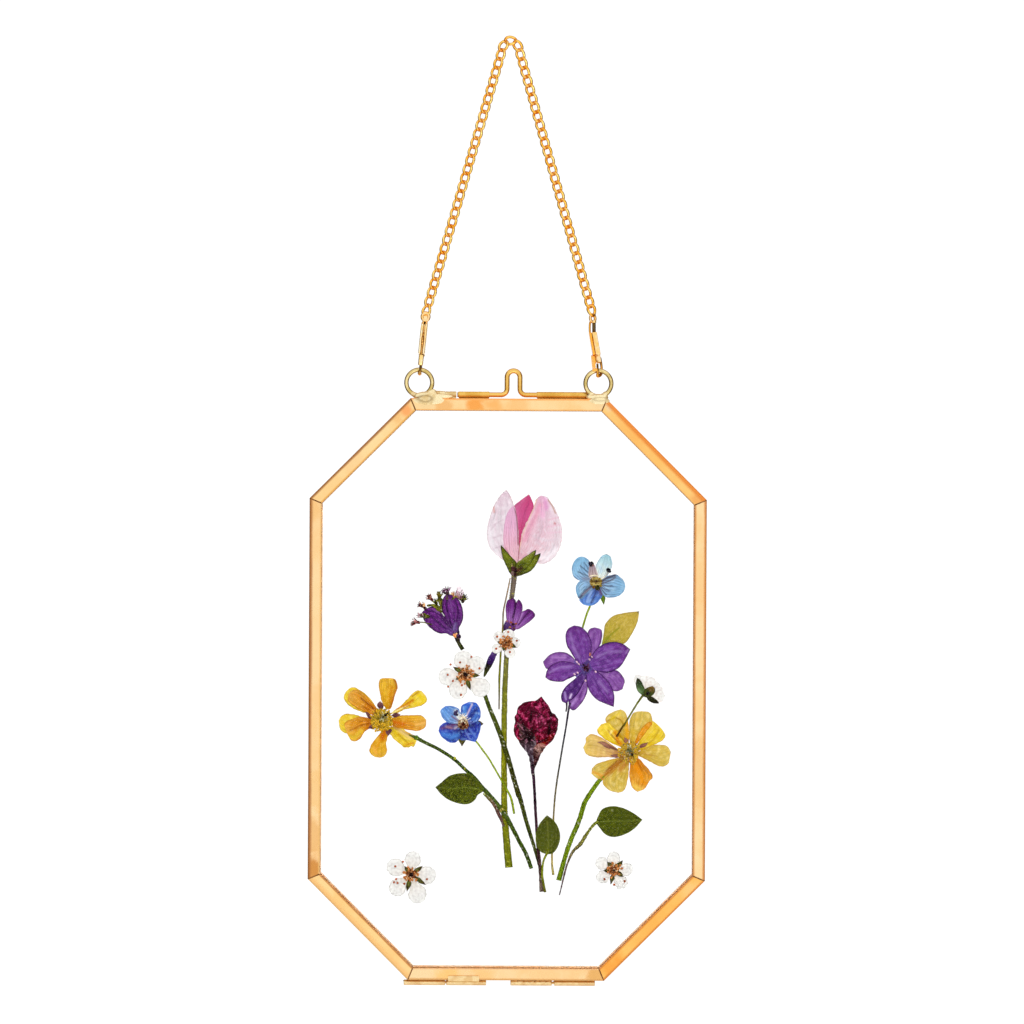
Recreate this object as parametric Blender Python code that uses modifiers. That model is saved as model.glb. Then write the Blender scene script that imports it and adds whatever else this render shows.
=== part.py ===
"""Octagonal brass hanging frame with pressed flowers between two panes of glass.

Metres, +Z up, seen from the front along +Y. The origin is the point where the chain
bears on its nail. The front half hangs by two rings on the chain's clasps; the back
half is hinged to it along the bottom and latched at the top by a sliding wire.
"""

import math
from collections import namedtuple

import bmesh
import bpy
from mathutils import Matrix, Vector

# Everything is drawn in millimetres, with y = 0 where the frame's halves meet. It is made
# metres, with y = 0 in the plane of the chain, when it becomes an object.
MM = 0.001
WELD = 1e-4
FIT_GAP = 0.3  # left between pieces that touch

# The octagon, measured over its outer edges.
FRAME_WIDTH = 135.2
FRAME_HEIGHT = 198.0
FRAME_TOP = -119.8  # below the nail
CORNER_CUT = 34.2  # taken off each corner at 45 degrees
FRAME_MIDDLE = FRAME_TOP - FRAME_HEIGHT / 2

# The brass channel of each half.
BAR_DEPTH = 3.5
BAR_FACE = 4.1
BAR_WALL = 0.4
FACE_ROUNDING = 0.85
JOINT_CHAMFER = 0.25
JOINT_GAP = 0.3  # between the two halves

# The panes.
PANE_THICKNESS = 2.0
PANE_INSET = 0.8  # of its edge from the frame's outer edge
PANE_MIDDLE = 2.0  # its distance from the joint plane

# The hanging rings and the latch along the top.
RING_SPREAD = 30.5  # of each ring from the middle
RING_OUTER_RADIUS = 5.1
RING_WIRE_RADIUS = 0.66
RING_DEPTH = -1.9  # the rings, clasps and chain hang in this plane, in front of the joint
TUBE_RADIUS = 1.07
TUBE_BORE_RADIUS = 0.8
LATCH_WIRE_RADIUS = 0.7
LATCH_THUMB_LOOP_HEIGHT = 8.2
LATCH_THUMB_LOOP_RADIUS = 2.2
LATCH_THUMB_LOOP_AT = 1.6
LATCH_BEND_RADIUS = 2.0

# The hinges under the bottom bars.
KNUCKLE_RADIUS = 0.93
KNUCKLE_BORE_RADIUS = 0.5
PIN_RADIUS = 0.42

# The chain, a flat curb chain drawn as one strip for each leg.
LINK_PITCH = 3.16
LINK_WIDTH = 3.3
LINK_WAIST = 2.3
LINK_DEPTH = 1.5
CHAIN_TOP = (0.0, 1.35)
CHAIN_SHOULDER = (2.5, 0.5)
CHAIN_FOOT = (28.0, -89.9)

# The clasps, seen edge-on from the front.
CLASP_LEAN = math.radians(5.6)
CLASP_BODY_THICKNESS = 2.2
CLASP_HOOK_THICKNESS = 1.3
CLASP_SLOT = 1.2
TRIGGER_THICKNESS = 0.6
TRIGGER_PIVOT = (-2.0, 11.4)  # depth, and height above the ring's top wire

# The pressed flowers lie in four layers between the panes.
LAYER_PITCH = 0.46
PETAL_THICKNESS = 0.12
PETAL_STEP = 0.018  # each petal lies this much in front of the one before it
STEM_THICKNESS = 0.16
BOUQUET_TILT = math.radians(0.3)  # the flowers lie this much anticlockwise of the frame

# Each side of the octagon, and the way it faces as (right, up).
SIDES = {
    "top": (0, 1),
    "top_right": (1, 1),
    "right": (1, 0),
    "bottom_right": (1, -1),
    "bottom": (0, -1),
    "bottom_left": (-1, -1),
    "left": (-1, 0),
    "top_left": (-1, 1),
}

# angle: anticlockwise from the right, in degrees; reach: from root to tip, in mm;
# belly: where the petal is widest, from 0 at its root to 1 at its tip; bend: how far its
# middle bows to the anticlockwise side, in mm; blunt: 1 is a point and 0.3 is square.
Petal = namedtuple("Petal", "angle reach width belly bend blunt root", defaults=(0.6, 0.0, 0.5, (0, 0)))
Stem = namedtuple("Stem", "points widths")
Bud = namedtuple("Bud", "x z radius")
Head = namedtuple("Head", "centre layer pieces")


# ---------------------------------------------------------------- materials and objects


def new_material(name, colour, roughness, metallic=0.0):
    material = bpy.data.materials.new(name)
    material.use_nodes = True
    shader = material.node_tree.nodes["Principled BSDF"]
    shader.inputs["Base Color"].default_value = (*colour, 1.0)
    shader.inputs["Roughness"].default_value = roughness
    shader.inputs["Metallic"].default_value = metallic
    return material


def new_collection(name):
    collection = bpy.data.collections.new(name)
    bpy.context.scene.collection.children.link(collection)
    return collection


def new_part(name, mesh, material, pivot=None):
    """A sub-part whose mesh is already in its place; pivot is the empty it turns or slides with."""
    mesh.name = name
    mesh.transform(to_metres)
    mesh.materials.clear()
    mesh.materials.append(material)
    mesh.shade_smooth()
    mesh.set_sharp_from_angle(angle=math.radians(35))
    part = bpy.data.objects.new(name, mesh)
    parts.objects.link(part)
    if pivot is not None:
        part.parent = pivot
        part.location = -pivot_place[pivot.name]
    return part


def new_pivot(name, place, parent=None):
    """An empty on a joint's axis."""
    pivot = bpy.data.objects.new(name, None)
    pivot.empty_display_size = 5 * MM
    parts.objects.link(pivot)
    pivot_place[name] = to_metres @ Vector(place)
    pivot.location = pivot_place[name]
    if parent is not None:
        pivot.parent = parent
        pivot.location = pivot_place[name] - pivot_place[parent.name]
    return pivot


# ---------------------------------------------------------------- shapes


def solid_of(guide):
    """The evaluated mesh of an object, welded and facing out; the object is removed."""
    cutters.objects.link(guide)
    bpy.context.view_layer.update()
    graph = bpy.context.evaluated_depsgraph_get()
    mesh = bpy.data.meshes.new_from_object(guide.evaluated_get(graph))
    mesh.transform(guide.matrix_world)
    bpy.data.objects.remove(guide)
    cage = bmesh.new()
    cage.from_mesh(mesh)
    bmesh.ops.remove_doubles(cage, verts=cage.verts, dist=WELD)
    bmesh.ops.recalc_face_normals(cage, faces=cage.faces)
    cage.to_mesh(mesh)
    cage.free()
    return mesh


def flat_solid(outlines, thickness, depth=0.0):
    """Outlines in the XZ plane, made a plate whose middle is at y = depth."""
    curve = bpy.data.curves.new("outline", "CURVE")
    curve.dimensions = "2D"
    curve.fill_mode = "BOTH"
    curve.extrude = thickness / 2
    for outline in outlines:
        spline = curve.splines.new("POLY")
        spline.points.add(len(outline) - 1)
        spline.use_cyclic_u = True
        for point, (x, z) in zip(spline.points, outline):
            point.co = (x, z, 0, 1)
    guide = bpy.data.objects.new("outline", curve)
    guide.rotation_euler = (math.pi / 2, 0, 0)
    guide.location = (0, depth, 0)
    return solid_of(guide)


def wire_solid(points, radius):
    curve = bpy.data.curves.new("wire", "CURVE")
    curve.dimensions = "3D"
    curve.bevel_depth = radius
    curve.bevel_resolution = 2
    curve.use_fill_caps = True
    spline = curve.splines.new("POLY")
    spline.points.add(len(points) - 1)
    for point, place in zip(spline.points, points):
        point.co = (*place, 1)
    return solid_of(bpy.data.objects.new("wire", curve))


def tube_solid(start, end, radius, bore, depth, height, steps=12):
    """A tube along X, turned from the rectangle of its wall."""
    profile = bmesh.new()
    corners = [profile.verts.new((r, 0, x)) for r, x in ((radius, end), (radius, start), (bore, start), (bore, end))]
    for corner, following in zip(corners, corners[1:] + corners[:1]):
        profile.edges.new((corner, following))
    mesh = bpy.data.meshes.new("profile")
    profile.to_mesh(mesh)
    profile.free()
    guide = bpy.data.objects.new("profile", mesh)
    screw = guide.modifiers.new("turn", "SCREW")
    screw.steps = steps
    screw.render_steps = steps
    screw.merge_threshold = WELD
    screw.use_merge_vertices = True
    guide.rotation_euler = (0, math.pi / 2, 0)
    guide.location = (0, depth, height)
    return solid_of(guide)


def torus_solid(centre, outer_radius, wire_radius, steps):
    bpy.ops.mesh.primitive_torus_add(
        location=centre,
        rotation=(math.pi / 2, 0, 0),
        major_radius=outer_radius - wire_radius,
        minor_radius=wire_radius,
        major_segments=steps,
        minor_segments=6,
    )
    ring = bpy.context.object
    for holder in list(ring.users_collection):
        holder.objects.unlink(ring)
    return solid_of(ring)


def block_solid(low, high, rounding=0.0):
    low, high = Vector(low), Vector(high)
    cage = bmesh.new()
    bmesh.ops.create_cube(cage, size=1)
    bmesh.ops.scale(cage, vec=high - low, verts=cage.verts)
    bmesh.ops.translate(cage, vec=(low + high) / 2, verts=cage.verts)
    if rounding:
        bmesh.ops.bevel(cage, geom=cage.edges, offset=rounding, segments=1, affect="EDGES")
    mesh = bpy.data.meshes.new("block")
    cage.to_mesh(mesh)
    cage.free()
    return mesh


def joined(meshes, operation="UNION"):
    """The first mesh with the others joined to it, or cut from it."""
    guide = bpy.data.objects.new("base", meshes[0])
    others = []
    for mesh in meshes[1:]:
        other = bpy.data.objects.new("cutter", mesh)
        other.hide_render = True
        other.display_type = "WIRE"
        cutters.objects.link(other)
        others.append(other)
        boolean = guide.modifiers.new(operation, "BOOLEAN")
        boolean.operation = operation
        boolean.solver = "EXACT"
        boolean.object = other
    solid = solid_of(guide)
    for other in others:
        bpy.data.objects.remove(other)
    return solid


# ---------------------------------------------------------------- the octagon


def side_spans():
    """For each side: its name, its turn about Y, the middle of its outer edge and its half-length."""
    half_width, half_height = FRAME_WIDTH / 2, FRAME_HEIGHT / 2
    for name, (right, up) in SIDES.items():
        if right and up:
            setback, half_length = CORNER_CUT / 2, CORNER_CUT / math.sqrt(2)
        else:
            setback, half_length = 0, (half_width if up else half_height) - CORNER_CUT
        middle = Vector((right * (half_width - setback), 0, FRAME_MIDDLE + up * (half_height - setback)))
        yield name, math.atan2(right, up), middle, half_length


def octagon(inset):
    """The frame's outline, moved in from its outer edge, as (x, z) corners."""
    half_width = FRAME_WIDTH / 2 - inset
    half_height = FRAME_HEIGHT / 2 - inset
    cut = CORNER_CUT - inset * (2 - math.sqrt(2))
    quarter = [(half_width - cut, half_height), (half_width, half_height - cut)]
    corners = quarter + [(x, -z) for x, z in reversed(quarter)]
    corners += [(-x, z) for x, z in reversed(corners)]
    return [(x, FRAME_MIDDLE + z) for x, z in corners]


def channel_profile():
    """The brass channel as (depth from the joint plane, distance in from the outer edge)."""
    far, face, wall = BAR_DEPTH, BAR_FACE, BAR_WALL
    arc = [
        (
            far - FACE_ROUNDING + FACE_ROUNDING * math.sin(turn),
            FACE_ROUNDING - FACE_ROUNDING * math.cos(turn),
        )
        for turn in (0, math.pi / 6, math.pi / 3, math.pi / 2)
    ]
    outside = [(0, face), (0, JOINT_CHAMFER), (JOINT_CHAMFER, 0), *arc, (far, face)]
    inside = [(far - wall, face), (far - wall, 1.4 * wall), (far - 1.9 * wall, wall), (wall, wall), (wall, face)]
    return outside + inside


def mitred_bar(facing, turn, middle, half_length):
    """One side's channel; facing is -1 in the front half and 1 in the back half."""
    mitre_slope = math.tan(math.radians(22.5))
    mitre_gap = FIT_GAP / 2 / math.cos(math.radians(22.5))
    profile = channel_profile()
    cage = bmesh.new()
    end = cage.faces.new(
        [
            cage.verts.new((inward * mitre_slope + mitre_gap - half_length, facing * (JOINT_GAP / 2 + deep), -inward))
            for deep, inward in profile
        ]
    )
    pulled = bmesh.ops.extrude_face_region(cage, geom=[end])
    for vertex in (v for v in pulled["geom"] if isinstance(v, bmesh.types.BMVert)):
        vertex.co.x = -vertex.co.x
    bmesh.ops.recalc_face_normals(cage, faces=cage.faces)
    mesh = bpy.data.meshes.new("bar")
    cage.to_mesh(mesh)
    cage.free()
    mesh.transform(Matrix.Translation(middle) @ Matrix.Rotation(turn, 4, "Y"))
    return mesh


def make_half(half, facing, pivot):
    for name, turn, middle, half_length in side_spans():
        new_part(f"{half}_bar_{name}", mitred_bar(facing, turn, middle, half_length), brass, pivot)
    pane = flat_solid([octagon(PANE_INSET)], PANE_THICKNESS, facing * PANE_MIDDLE)
    new_part(f"{half}_glass", pane, glass, pivot)


# ---------------------------------------------------------------- rings, latch and hinges


def make_rings(pivot):
    """Each ring stands on the front top bar in a foot of solder."""
    foot_bottom = FRAME_TOP + FIT_GAP
    centre = foot_bottom + RING_OUTER_RADIUS - 0.1
    for side, name in ((-1, "left"), (1, "right")):
        middle = side * RING_SPREAD
        ring = torus_solid((middle, RING_DEPTH, centre), RING_OUTER_RADIUS, RING_WIRE_RADIUS, 16)
        foot = block_solid(
            (middle - 3.4, -3.2, foot_bottom), (middle + 3.4, -0.6, foot_bottom + 1.9), 0.5
        )
        new_part(f"ring_{name}", joined([ring, foot]), pale_brass, pivot)


def latch_path():
    """The wire's middle from its bolt end over the thumb loop to its tail, as (x, z) from the tubes' axis."""
    bend, loop = LATCH_BEND_RADIUS, LATCH_THUMB_LOOP_RADIUS
    half = [(-LATCH_BOLT_REACH, 0.0)]
    for turn in (0, 30, 60, 90):
        angle = math.radians(turn)
        half.append((-loop - bend + bend * math.sin(angle), bend - bend * math.cos(angle)))
    for turn in (0, 30, 60):
        angle = math.radians(turn)
        half.append((-loop * math.cos(angle), LATCH_THUMB_LOOP_HEIGHT - loop + loop * math.sin(angle)))
    other = [(-x, z) for x, z in reversed(half)]
    other[-1] = (LATCH_TAIL_REACH, 0.0)
    return half + [(0.0, LATCH_THUMB_LOOP_HEIGHT)] + other


def make_latch(front_pivot, back_pivot, latch_pivot):
    axis_height = FRAME_TOP + FIT_GAP + TUBE_RADIUS
    tubes = (
        ("latch_keeper_tube", -25.4, -17.9, front_pivot),
        ("latch_tube_left", -17.2, -6.6, back_pivot),
        ("latch_tube_right", 9.5, 27.0, back_pivot),
    )
    for name, start, end, pivot in tubes:
        tube = tube_solid(start, end, TUBE_RADIUS, TUBE_BORE_RADIUS, 0, axis_height)
        new_part(name, tube, brass, pivot)
    points = [(LATCH_THUMB_LOOP_AT + x, 0, axis_height + z) for x, z in latch_path()]
    new_part("latch_wire", wire_solid(points, LATCH_WIRE_RADIUS), brass, latch_pivot)


def hinge_tongue():
    """The leaf that wraps from the left inner knuckle round the front bar's lower edge."""
    low = HINGE_HEIGHT + KNUCKLE_BORE_RADIUS + 0.05
    under = FRAME_TOP - FRAME_HEIGHT - FIT_GAP
    front = -(JOINT_GAP / 2 + BAR_DEPTH + FIT_GAP)
    start, end = -19.6, -9.0
    sole = block_solid((start, front - 0.3, low), (end, -0.3, under))
    lip = block_solid((start, front - 0.3, low), (end, front, under + 1.9))
    return [sole, lip]


def make_hinges(front_pivot, back_pivot):
    knuckles = (
        ("hinge_left_outer_knuckle", -34.8, -20.7, back_pivot),
        ("hinge_left_inner_knuckle", -20.3, -6.7, front_pivot),
        ("hinge_right_inner_knuckle", 1.6, 15.7, front_pivot),
        ("hinge_right_outer_knuckle", 16.5, 30.4, back_pivot),
    )
    for name, start, end, pivot in knuckles:
        knuckle = tube_solid(start, end, KNUCKLE_RADIUS, KNUCKLE_BORE_RADIUS, 0, HINGE_HEIGHT, 10)
        if name == "hinge_left_inner_knuckle":
            knuckle = joined([knuckle, *hinge_tongue()])
        new_part(name, knuckle, brass, pivot)
    for name, start, end in (("hinge_left_pin", -34.4, -7.1), ("hinge_right_pin", 2.0, 30.0)):
        ends = [(start, 0, HINGE_HEIGHT), (end, 0, HINGE_HEIGHT)]
        new_part(name, wire_solid(ends, PIN_RADIUS), brass, front_pivot)


# ---------------------------------------------------------------- chain and clasps


def chain_leg(side):
    """One leg as a flat strip of links: scalloped edges, and a hole in each link."""
    path = [Vector(point) for point in (CHAIN_TOP, CHAIN_SHOULDER, CHAIN_FOOT)]
    first = (path[1] - path[0]).length
    total = first + (path[2] - path[1]).length
    count = round(total / LINK_PITCH)

    def edge(along, offset):
        start, end, walked = (path[0], path[1], along) if along < first else (path[1], path[2], along - first)
        ahead = (end - start).normalized()
        point = start + ahead * walked + Vector((-ahead.y, ahead.x)) * offset
        return (side * max(point.x, FIT_GAP / 2), point.y)

    outer, inner, holes = [], [], []
    for link in range(count):
        near, middle, far = ((link + share) * total / count for share in (0.08, 0.5, 0.92))
        outer += [edge(near, LINK_WAIST / 2), edge(middle, LINK_WIDTH / 2)]
        inner += [edge(near, -LINK_WAIST / 2), edge(middle, -LINK_WIDTH / 2)]
        if link:
            reach = 0.3 * LINK_PITCH
            holes.append(
                [
                    edge(middle - reach, 0),
                    edge(middle, 0.27 * LINK_WIDTH),
                    edge(middle + reach, 0),
                    edge(middle, -0.27 * LINK_WIDTH),
                ]
            )
    ends = [edge(total, LINK_WAIST / 2), edge(total, -LINK_WAIST / 2)]
    return flat_solid([outer + ends + inner[::-1], *holes], LINK_DEPTH, RING_DEPTH)


def clasp_outlines():
    """The clasp's body and hook as (depth, height) outlines from the ring's top wire."""
    body = [(-1.0, 16.6), (-2.6, 15.2), (-3.5, 12.6), (-3.6, 9.0), (-1.2, 8.2), (1.4, 8.0), (2.4, 6.6)]
    body += [(2.6, 4.4), (4.0, 4.4), (4.3, 8.0), (3.9, 12.0), (2.8, 15.2), (1.0, 16.6)]
    hook = [(2.5, 6.0), (2.5, 3.6), (2.1, 1.6), (1.4, 0.0), (0.4, -0.85), (-0.7, -0.8), (-1.7, 0.2), (-2.2, 1.6)]
    hook += [(-2.3, 2.9), (-3.3, 2.9), (-3.4, 1.4), (-2.9, -0.3), (-1.8, -1.6), (-0.2, -2.05), (1.4, -1.6)]
    hook += [(2.7, -0.3), (3.5, 1.8), (3.8, 4.0), (3.8, 6.0)]
    return body, hook


def trigger_outline():
    """The lever: a hub on the pivot, a thumb tab outside the body and an arm down to the hook's tip."""
    outline = [(-2.3, 12.4), (-1.3, 11.9), (-1.2, 10.7), (-1.7, 9.8), (-2.2, 7.0), (-2.3, 3.3), (-3.2, 3.3)]
    return outline + [(-3.6, 6.4), (-4.4, 8.6), (-5.4, 9.9), (-5.2, 10.9), (-3.6, 11.2)]


def clasp_plate(outline, thickness):
    """A clasp outline as a plate in the YZ plane, its middle at x = 0."""
    plate = flat_solid([outline], thickness)
    plate.transform(Matrix.Rotation(math.pi / 2, 4, "Z"))
    return plate


def make_clasp(name, side, ring_top, root_pivot):
    place = Matrix.Translation((side * RING_SPREAD, RING_DEPTH, ring_top))
    lean = place @ Matrix.Rotation(-side * CLASP_LEAN, 4, "Y")
    body_outline, hook_outline = clasp_outlines()
    body = clasp_plate(body_outline, CLASP_BODY_THICKNESS)
    slot = block_solid((-CLASP_SLOT / 2, -6, 7), (CLASP_SLOT / 2, 2.2, 14.6))
    body = joined([body, slot], "DIFFERENCE")
    eye = torus_solid((0, 0, 18.1), 1.8, 0.55, 8)
    clasp = joined([body, clasp_plate(hook_outline, CLASP_HOOK_THICKNESS), eye])
    clasp.transform(lean)
    new_part(f"clasp_{name}", clasp, gold, root_pivot)
    pivot = new_pivot(f"clasp_trigger_{name}_pivot", lean @ Vector((0, *TRIGGER_PIVOT)))
    trigger = clasp_plate(trigger_outline(), TRIGGER_THICKNESS)
    trigger.transform(lean)
    new_part(f"clasp_trigger_{name}", trigger, gold, pivot)


def make_hanger():
    ring_top = FRAME_TOP + FIT_GAP + 2 * RING_OUTER_RADIUS - 0.1 - RING_WIRE_RADIUS
    for side, name in ((-1, "left"), (1, "right")):
        new_part(f"chain_{name}", chain_leg(side), gold)
        make_clasp(name, side, ring_top, None)


# ---------------------------------------------------------------- pressed flowers


def petal_outline(petal):
    """The edge of a petal from the head's centre: claw, one side, tip, other side."""
    claw, shoulder = 0.3, 0.78
    shares = [0, petal.belly * 0.5, petal.belly, petal.belly + (1 - petal.belly) * shoulder]
    widths = [claw, 0.78, 1.0, (1 - shoulder**2) ** petal.blunt]
    turn = math.radians(petal.angle)
    ahead, aside = Vector((math.cos(turn), math.sin(turn))), Vector((-math.sin(turn), math.cos(turn)))

    def place(share, offset):
        bow = 4 * petal.bend * share * (1 - share)
        return Vector(petal.root) + ahead * petal.reach * share + aside * (bow + offset)

    left = [place(share, width * petal.width / 2) for share, width in zip(shares, widths)]
    right = [place(share, -width * petal.width / 2) for share, width in zip(shares, widths)]
    return left + [place(1, 0)] + right[::-1]


def stem_outline(stem):
    """A flattened stem: a ribbon along its points, with a width at each."""
    points = [Vector(point) for point in stem.points]
    left, right = [], []
    for index, (point, width) in enumerate(zip(points, stem.widths)):
        before, after = points[max(index - 1, 0)], points[min(index + 1, len(points) - 1)]
        ahead = (after - before).normalized()
        aside = Vector((-ahead.y, ahead.x)) * width / 2
        left.append(point + aside)
        right.append(point - aside)
    return left + right[::-1]


def bud_outline(bud, corners=6):
    turns = [2 * math.pi * corner / corners for corner in range(corners)]
    return [(bud.x + bud.radius * math.cos(turn), bud.z + bud.radius * math.sin(turn)) for turn in turns]


def outline_of(piece):
    return {Petal: petal_outline, Stem: stem_outline, Bud: bud_outline}[type(piece)](piece)


def make_head(name, head, material, pivot):
    """A specimen fused from its pieces, which are listed from the back one to the front one."""
    rearmost = PETAL_STEP * (len(head.pieces) - 1) / 2
    solids = []
    for index, piece in enumerate(head.pieces):
        thickness = STEM_THICKNESS if isinstance(piece, Stem) else PETAL_THICKNESS
        solids.append(flat_solid([outline_of(piece)], thickness, rearmost - PETAL_STEP * index))
    specimen = joined(solids)
    x, z = head.centre
    tilt = Matrix.Translation((0, 0, FRAME_MIDDLE)) @ Matrix.Rotation(-BOUQUET_TILT, 4, "Y")
    specimen.transform(tilt @ Matrix.Translation((x, (head.layer - 1.5) * LAYER_PITCH, z)))
    new_part(name, specimen, material, pivot)


def blossom(centre, layer, petals, width, heart):
    """A small round flower: petals as (angle, reach), overlapping round its heart."""
    pieces = [Petal(angle, reach, width, 0.62, 0, 0.45) for angle, reach in petals]
    return Head(centre, layer, pieces + [Bud(0, 0, heart)])


# Centres are in mm from the frame's middle; the layers run from 0 behind the front pane to 3.
pink_bloom = Head(
    (3.2, 42.0),
    3,
    [
        Stem(
            [(0, -2.6), (-0.9, -5), (-2.6, -17), (-4.3, -30.6), (-4.3, -60.9), (-4.1, -79.6), (-2.6, -102.7)],
            [2.2, 1.8, 1.8, 1.9, 1.9, 2.1, 2.4],
        ),
        Petal(82, 24.4, 7.4, 0.72, 0.4, 0.9),
        Petal(97.7, 26.0, 11.0, 0.42, 3.3, 0.62),
        Petal(68, 25.6, 14.4, 0.5, -3.8, 0.45),
        Petal(113, 11.9, 3.8, 0.42, 0.4, 0.9, (-0.6, -3.6)),
        Petal(46, 11.2, 4.8, 0.45, -0.2, 0.9, (-0.2, -3.4)),
    ],
)
sky_blue_flower = Head(
    (30.4, 36.6),
    3,
    [
        Stem([(-0.4, -4), (-2.2, -8.6), (-4.4, -14.6), (-5.4, -19.5)], [0.8, 0.7, 0.7, 0.8]),
        Petal(-70, 8.0, 1.8, 0.5),
        Petal(200, 7.4, 5.2),
        Petal(-113, 8.7, 8.0, 0.6),
        Petal(-12, 9.9, 8.4, 0.62),
        Petal(135, 10.2, 8.0, 0.62),
        Petal(70, 9.9, 6.4, 0.62),
        Bud(0, 0, 1.7),
    ],
)
violet_spray = Head(
    (-17.6, 16.9),
    2,
    [
        Stem([(-1.5, 3), (-4.6, 8.6), (-6.1, 11.8), (-5.2, 15.6)], [1.2, 1.2, 1.6, 1.8]),
        Stem([(-6.0, 11.6), (-8.6, 13.8), (-9.6, 15.4)], [1.4, 0.8, 2.4]),
        Stem([(-5.6, 9.8), (-9.4, 10.6), (-11.6, 12.4), (-13.0, 13.0)], [2.0, 1.4, 2.2, 1.0]),
        Stem([(-6.6, 5.6), (-11.4, 5.4), (-13.6, 5.8), (-15.6, 5.6)], [1.2, 0.5, 1.8, 0.8]),
        Stem([(-8.4, 8.6), (-12.6, 7.6), (-13.2, 8.8)], [2.0, 2.4, 0.8]),
        Stem([(0.2, 11.6), (2.3, 14.4), (1.9, 17.2), (1.2, 19.0)], [1.4, 2.4, 2.8, 1.0]),
        Stem([(-3.2, 12.0), (-3.2, 16.6), (-3.4, 18.4)], [1.6, 2.8, 0.8]),
        Petal(144, 12.6, 6.6, 0.58, -0.7, 0.45, (-0.3, 1.2)),
        Petal(105, 14.8, 6.6, 0.55, -1.1, 0.6, (0.3, 1.4)),
        Stem([(0.1, 2.2), (0.5, 0.2), (1.1, -1.0), (2.7, -3.9)], [2.2, 2.0, 1.3, 1.0]),
    ],
)
violet_floret = Head(
    (2.1, 23.0),
    2,
    [
        Petal(216, 4.2, 2.4, 0.4, 0, 0.6, (0.5, 0.5)),
        Petal(28, 8.3, 3.4, 0.66, -0.4, 0.45, (0.2, -1.2)),
        Petal(72, 7.6, 3.4, 0.6),
        Petal(103, 8.0, 4.0, 0.6, 0.5, 0.5),
        Petal(6, 5.4, 3.0, 0.5, -0.4, 0.6, (0, -0.6)),
    ],
)
upper_white_blossom = blossom((-0.4, 15.7), 0, ((135, 6.3), (73, 6.0), (3, 5.4), (205, 6.2), (-67, 5.8)), 4.0, 1.9)
middle_white_blossom = blossom((-14.3, 4.6), 1, ((98, 9.2), (44, 8.9), (-36, 9.9), (-114, 8.9), (183, 9.0)), 6.4, 2.5)
left_white_blossom = blossom((-32.9, -63.4), 2, ((84, 9.2), (6, 9.3), (-72, 10.0), (222, 9.2), (155, 9.4)), 6.6, 2.2)
right_white_blossom = blossom((36.3, -61.7), 2, ((88, 6.6), (152, 7.2), (216, 6.8), (-69, 7.2), (-4, 6.7)), 4.6, 2.1)
cornflower_blue_flower = Head(
    (-15.2, -12.4),
    2,
    [
        Stem(
            [(1.5, -3.5), (4.6, -5.8), (9.2, -12.2), (13.6, -19.7), (16.0, -23.5), (17.4, -28.0), (17.6, -30.4)],
            [0.8, 0.7, 0.7, 0.7, 0.8, 0.9, 0.7],
        ),
        Petal(6, 6.9, 1.6, 0.5),
        Petal(-91, 7.2, 1.6, 0.5),
        Petal(58, 8.5, 7.4, 0.62),
        Petal(-41, 7.5, 6.4, 0.62),
        Petal(215, 8.6, 7.2, 0.62),
        Petal(133, 8.6, 7.6, 0.62),
        Bud(0, 0, 1.7),
    ],
)
left_yellow_flower = Head(
    (-42.5, -10.3),
    2,
    [
        Stem([(6.4, -3.6), (11.3, -6.3), (18.4, -10.5), (24.4, -14.1), (29.8, -19.1)], [1.0, 1.4, 1.4, 1.5, 1.4]),
        Stem([(29.0, -18.3), (37.5, -27.7), (42.8, -35), (46.9, -42.7), (50.7, -50.3)], [1.4, 1.5, 1.7, 1.6, 1.3]),
        Petal(186, 15.3, 6.4, 0.74, 0, 0.42),
        Petal(28.5, 16.6, 4.4, 0.82, 0, 0.45),
        Petal(-38, 14.4, 5.2, 0.74, 0, 0.35),
        Petal(-6, 14.9, 5.2, 0.74, 0, 0.42),
        Petal(-97, 13.4, 5.8, 0.74, 0, 0.42),
        Petal(212, 13.0, 6.6, 0.74, 0, 0.34),
        Petal(144, 14.8, 6.6, 0.7, 0, 0.36),
        Petal(82, 13.9, 6.4, 0.7, 0, 0.3),
        Bud(0, 0, 3.8),
    ],
)
right_yellow_flower = Head(
    (41.7, -22.2),
    3,
    [
        Stem([(-6, -4.6), (-10.4, -8.6), (-13.6, -13.2), (-15.8, -17.6), (-18.8, -25.6)], [1.4, 1.6, 1.8, 1.8, 1.7]),
        Stem([(-18.5, -24.8), (-20.5, -30.7), (-22.2, -36.5), (-24.4, -43.3)], [1.7, 1.6, 1.6, 1.8]),
        Petal(109, 15.6, 8.0, 0.68, 0, 0.4),
        Petal(36, 14.2, 6.8, 0.7, 0, 0.4),
        Petal(169.5, 16.0, 7.8, 0.7, 0, 0.42),
        Petal(205, 14.4, 6.2, 0.74, 0, 0.42),
        Petal(-46, 12.2, 4.6, 0.72, 0, 0.42),
        Petal(-2.5, 14.2, 7.2, 0.72, 0, 0.42),
        Petal(243, 14.9, 8.0, 0.7, 0, 0.4),
        Petal(-73, 13.4, 6.8, 0.66, 0, 0.42),
        Petal(71, 15.0, 7.6, 0.66, 0, 0.4),
        Petal(137, 14.0, 6.4, 0.7, 0, 0.38),
        Bud(0, 0, 3.2),
    ],
)
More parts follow.
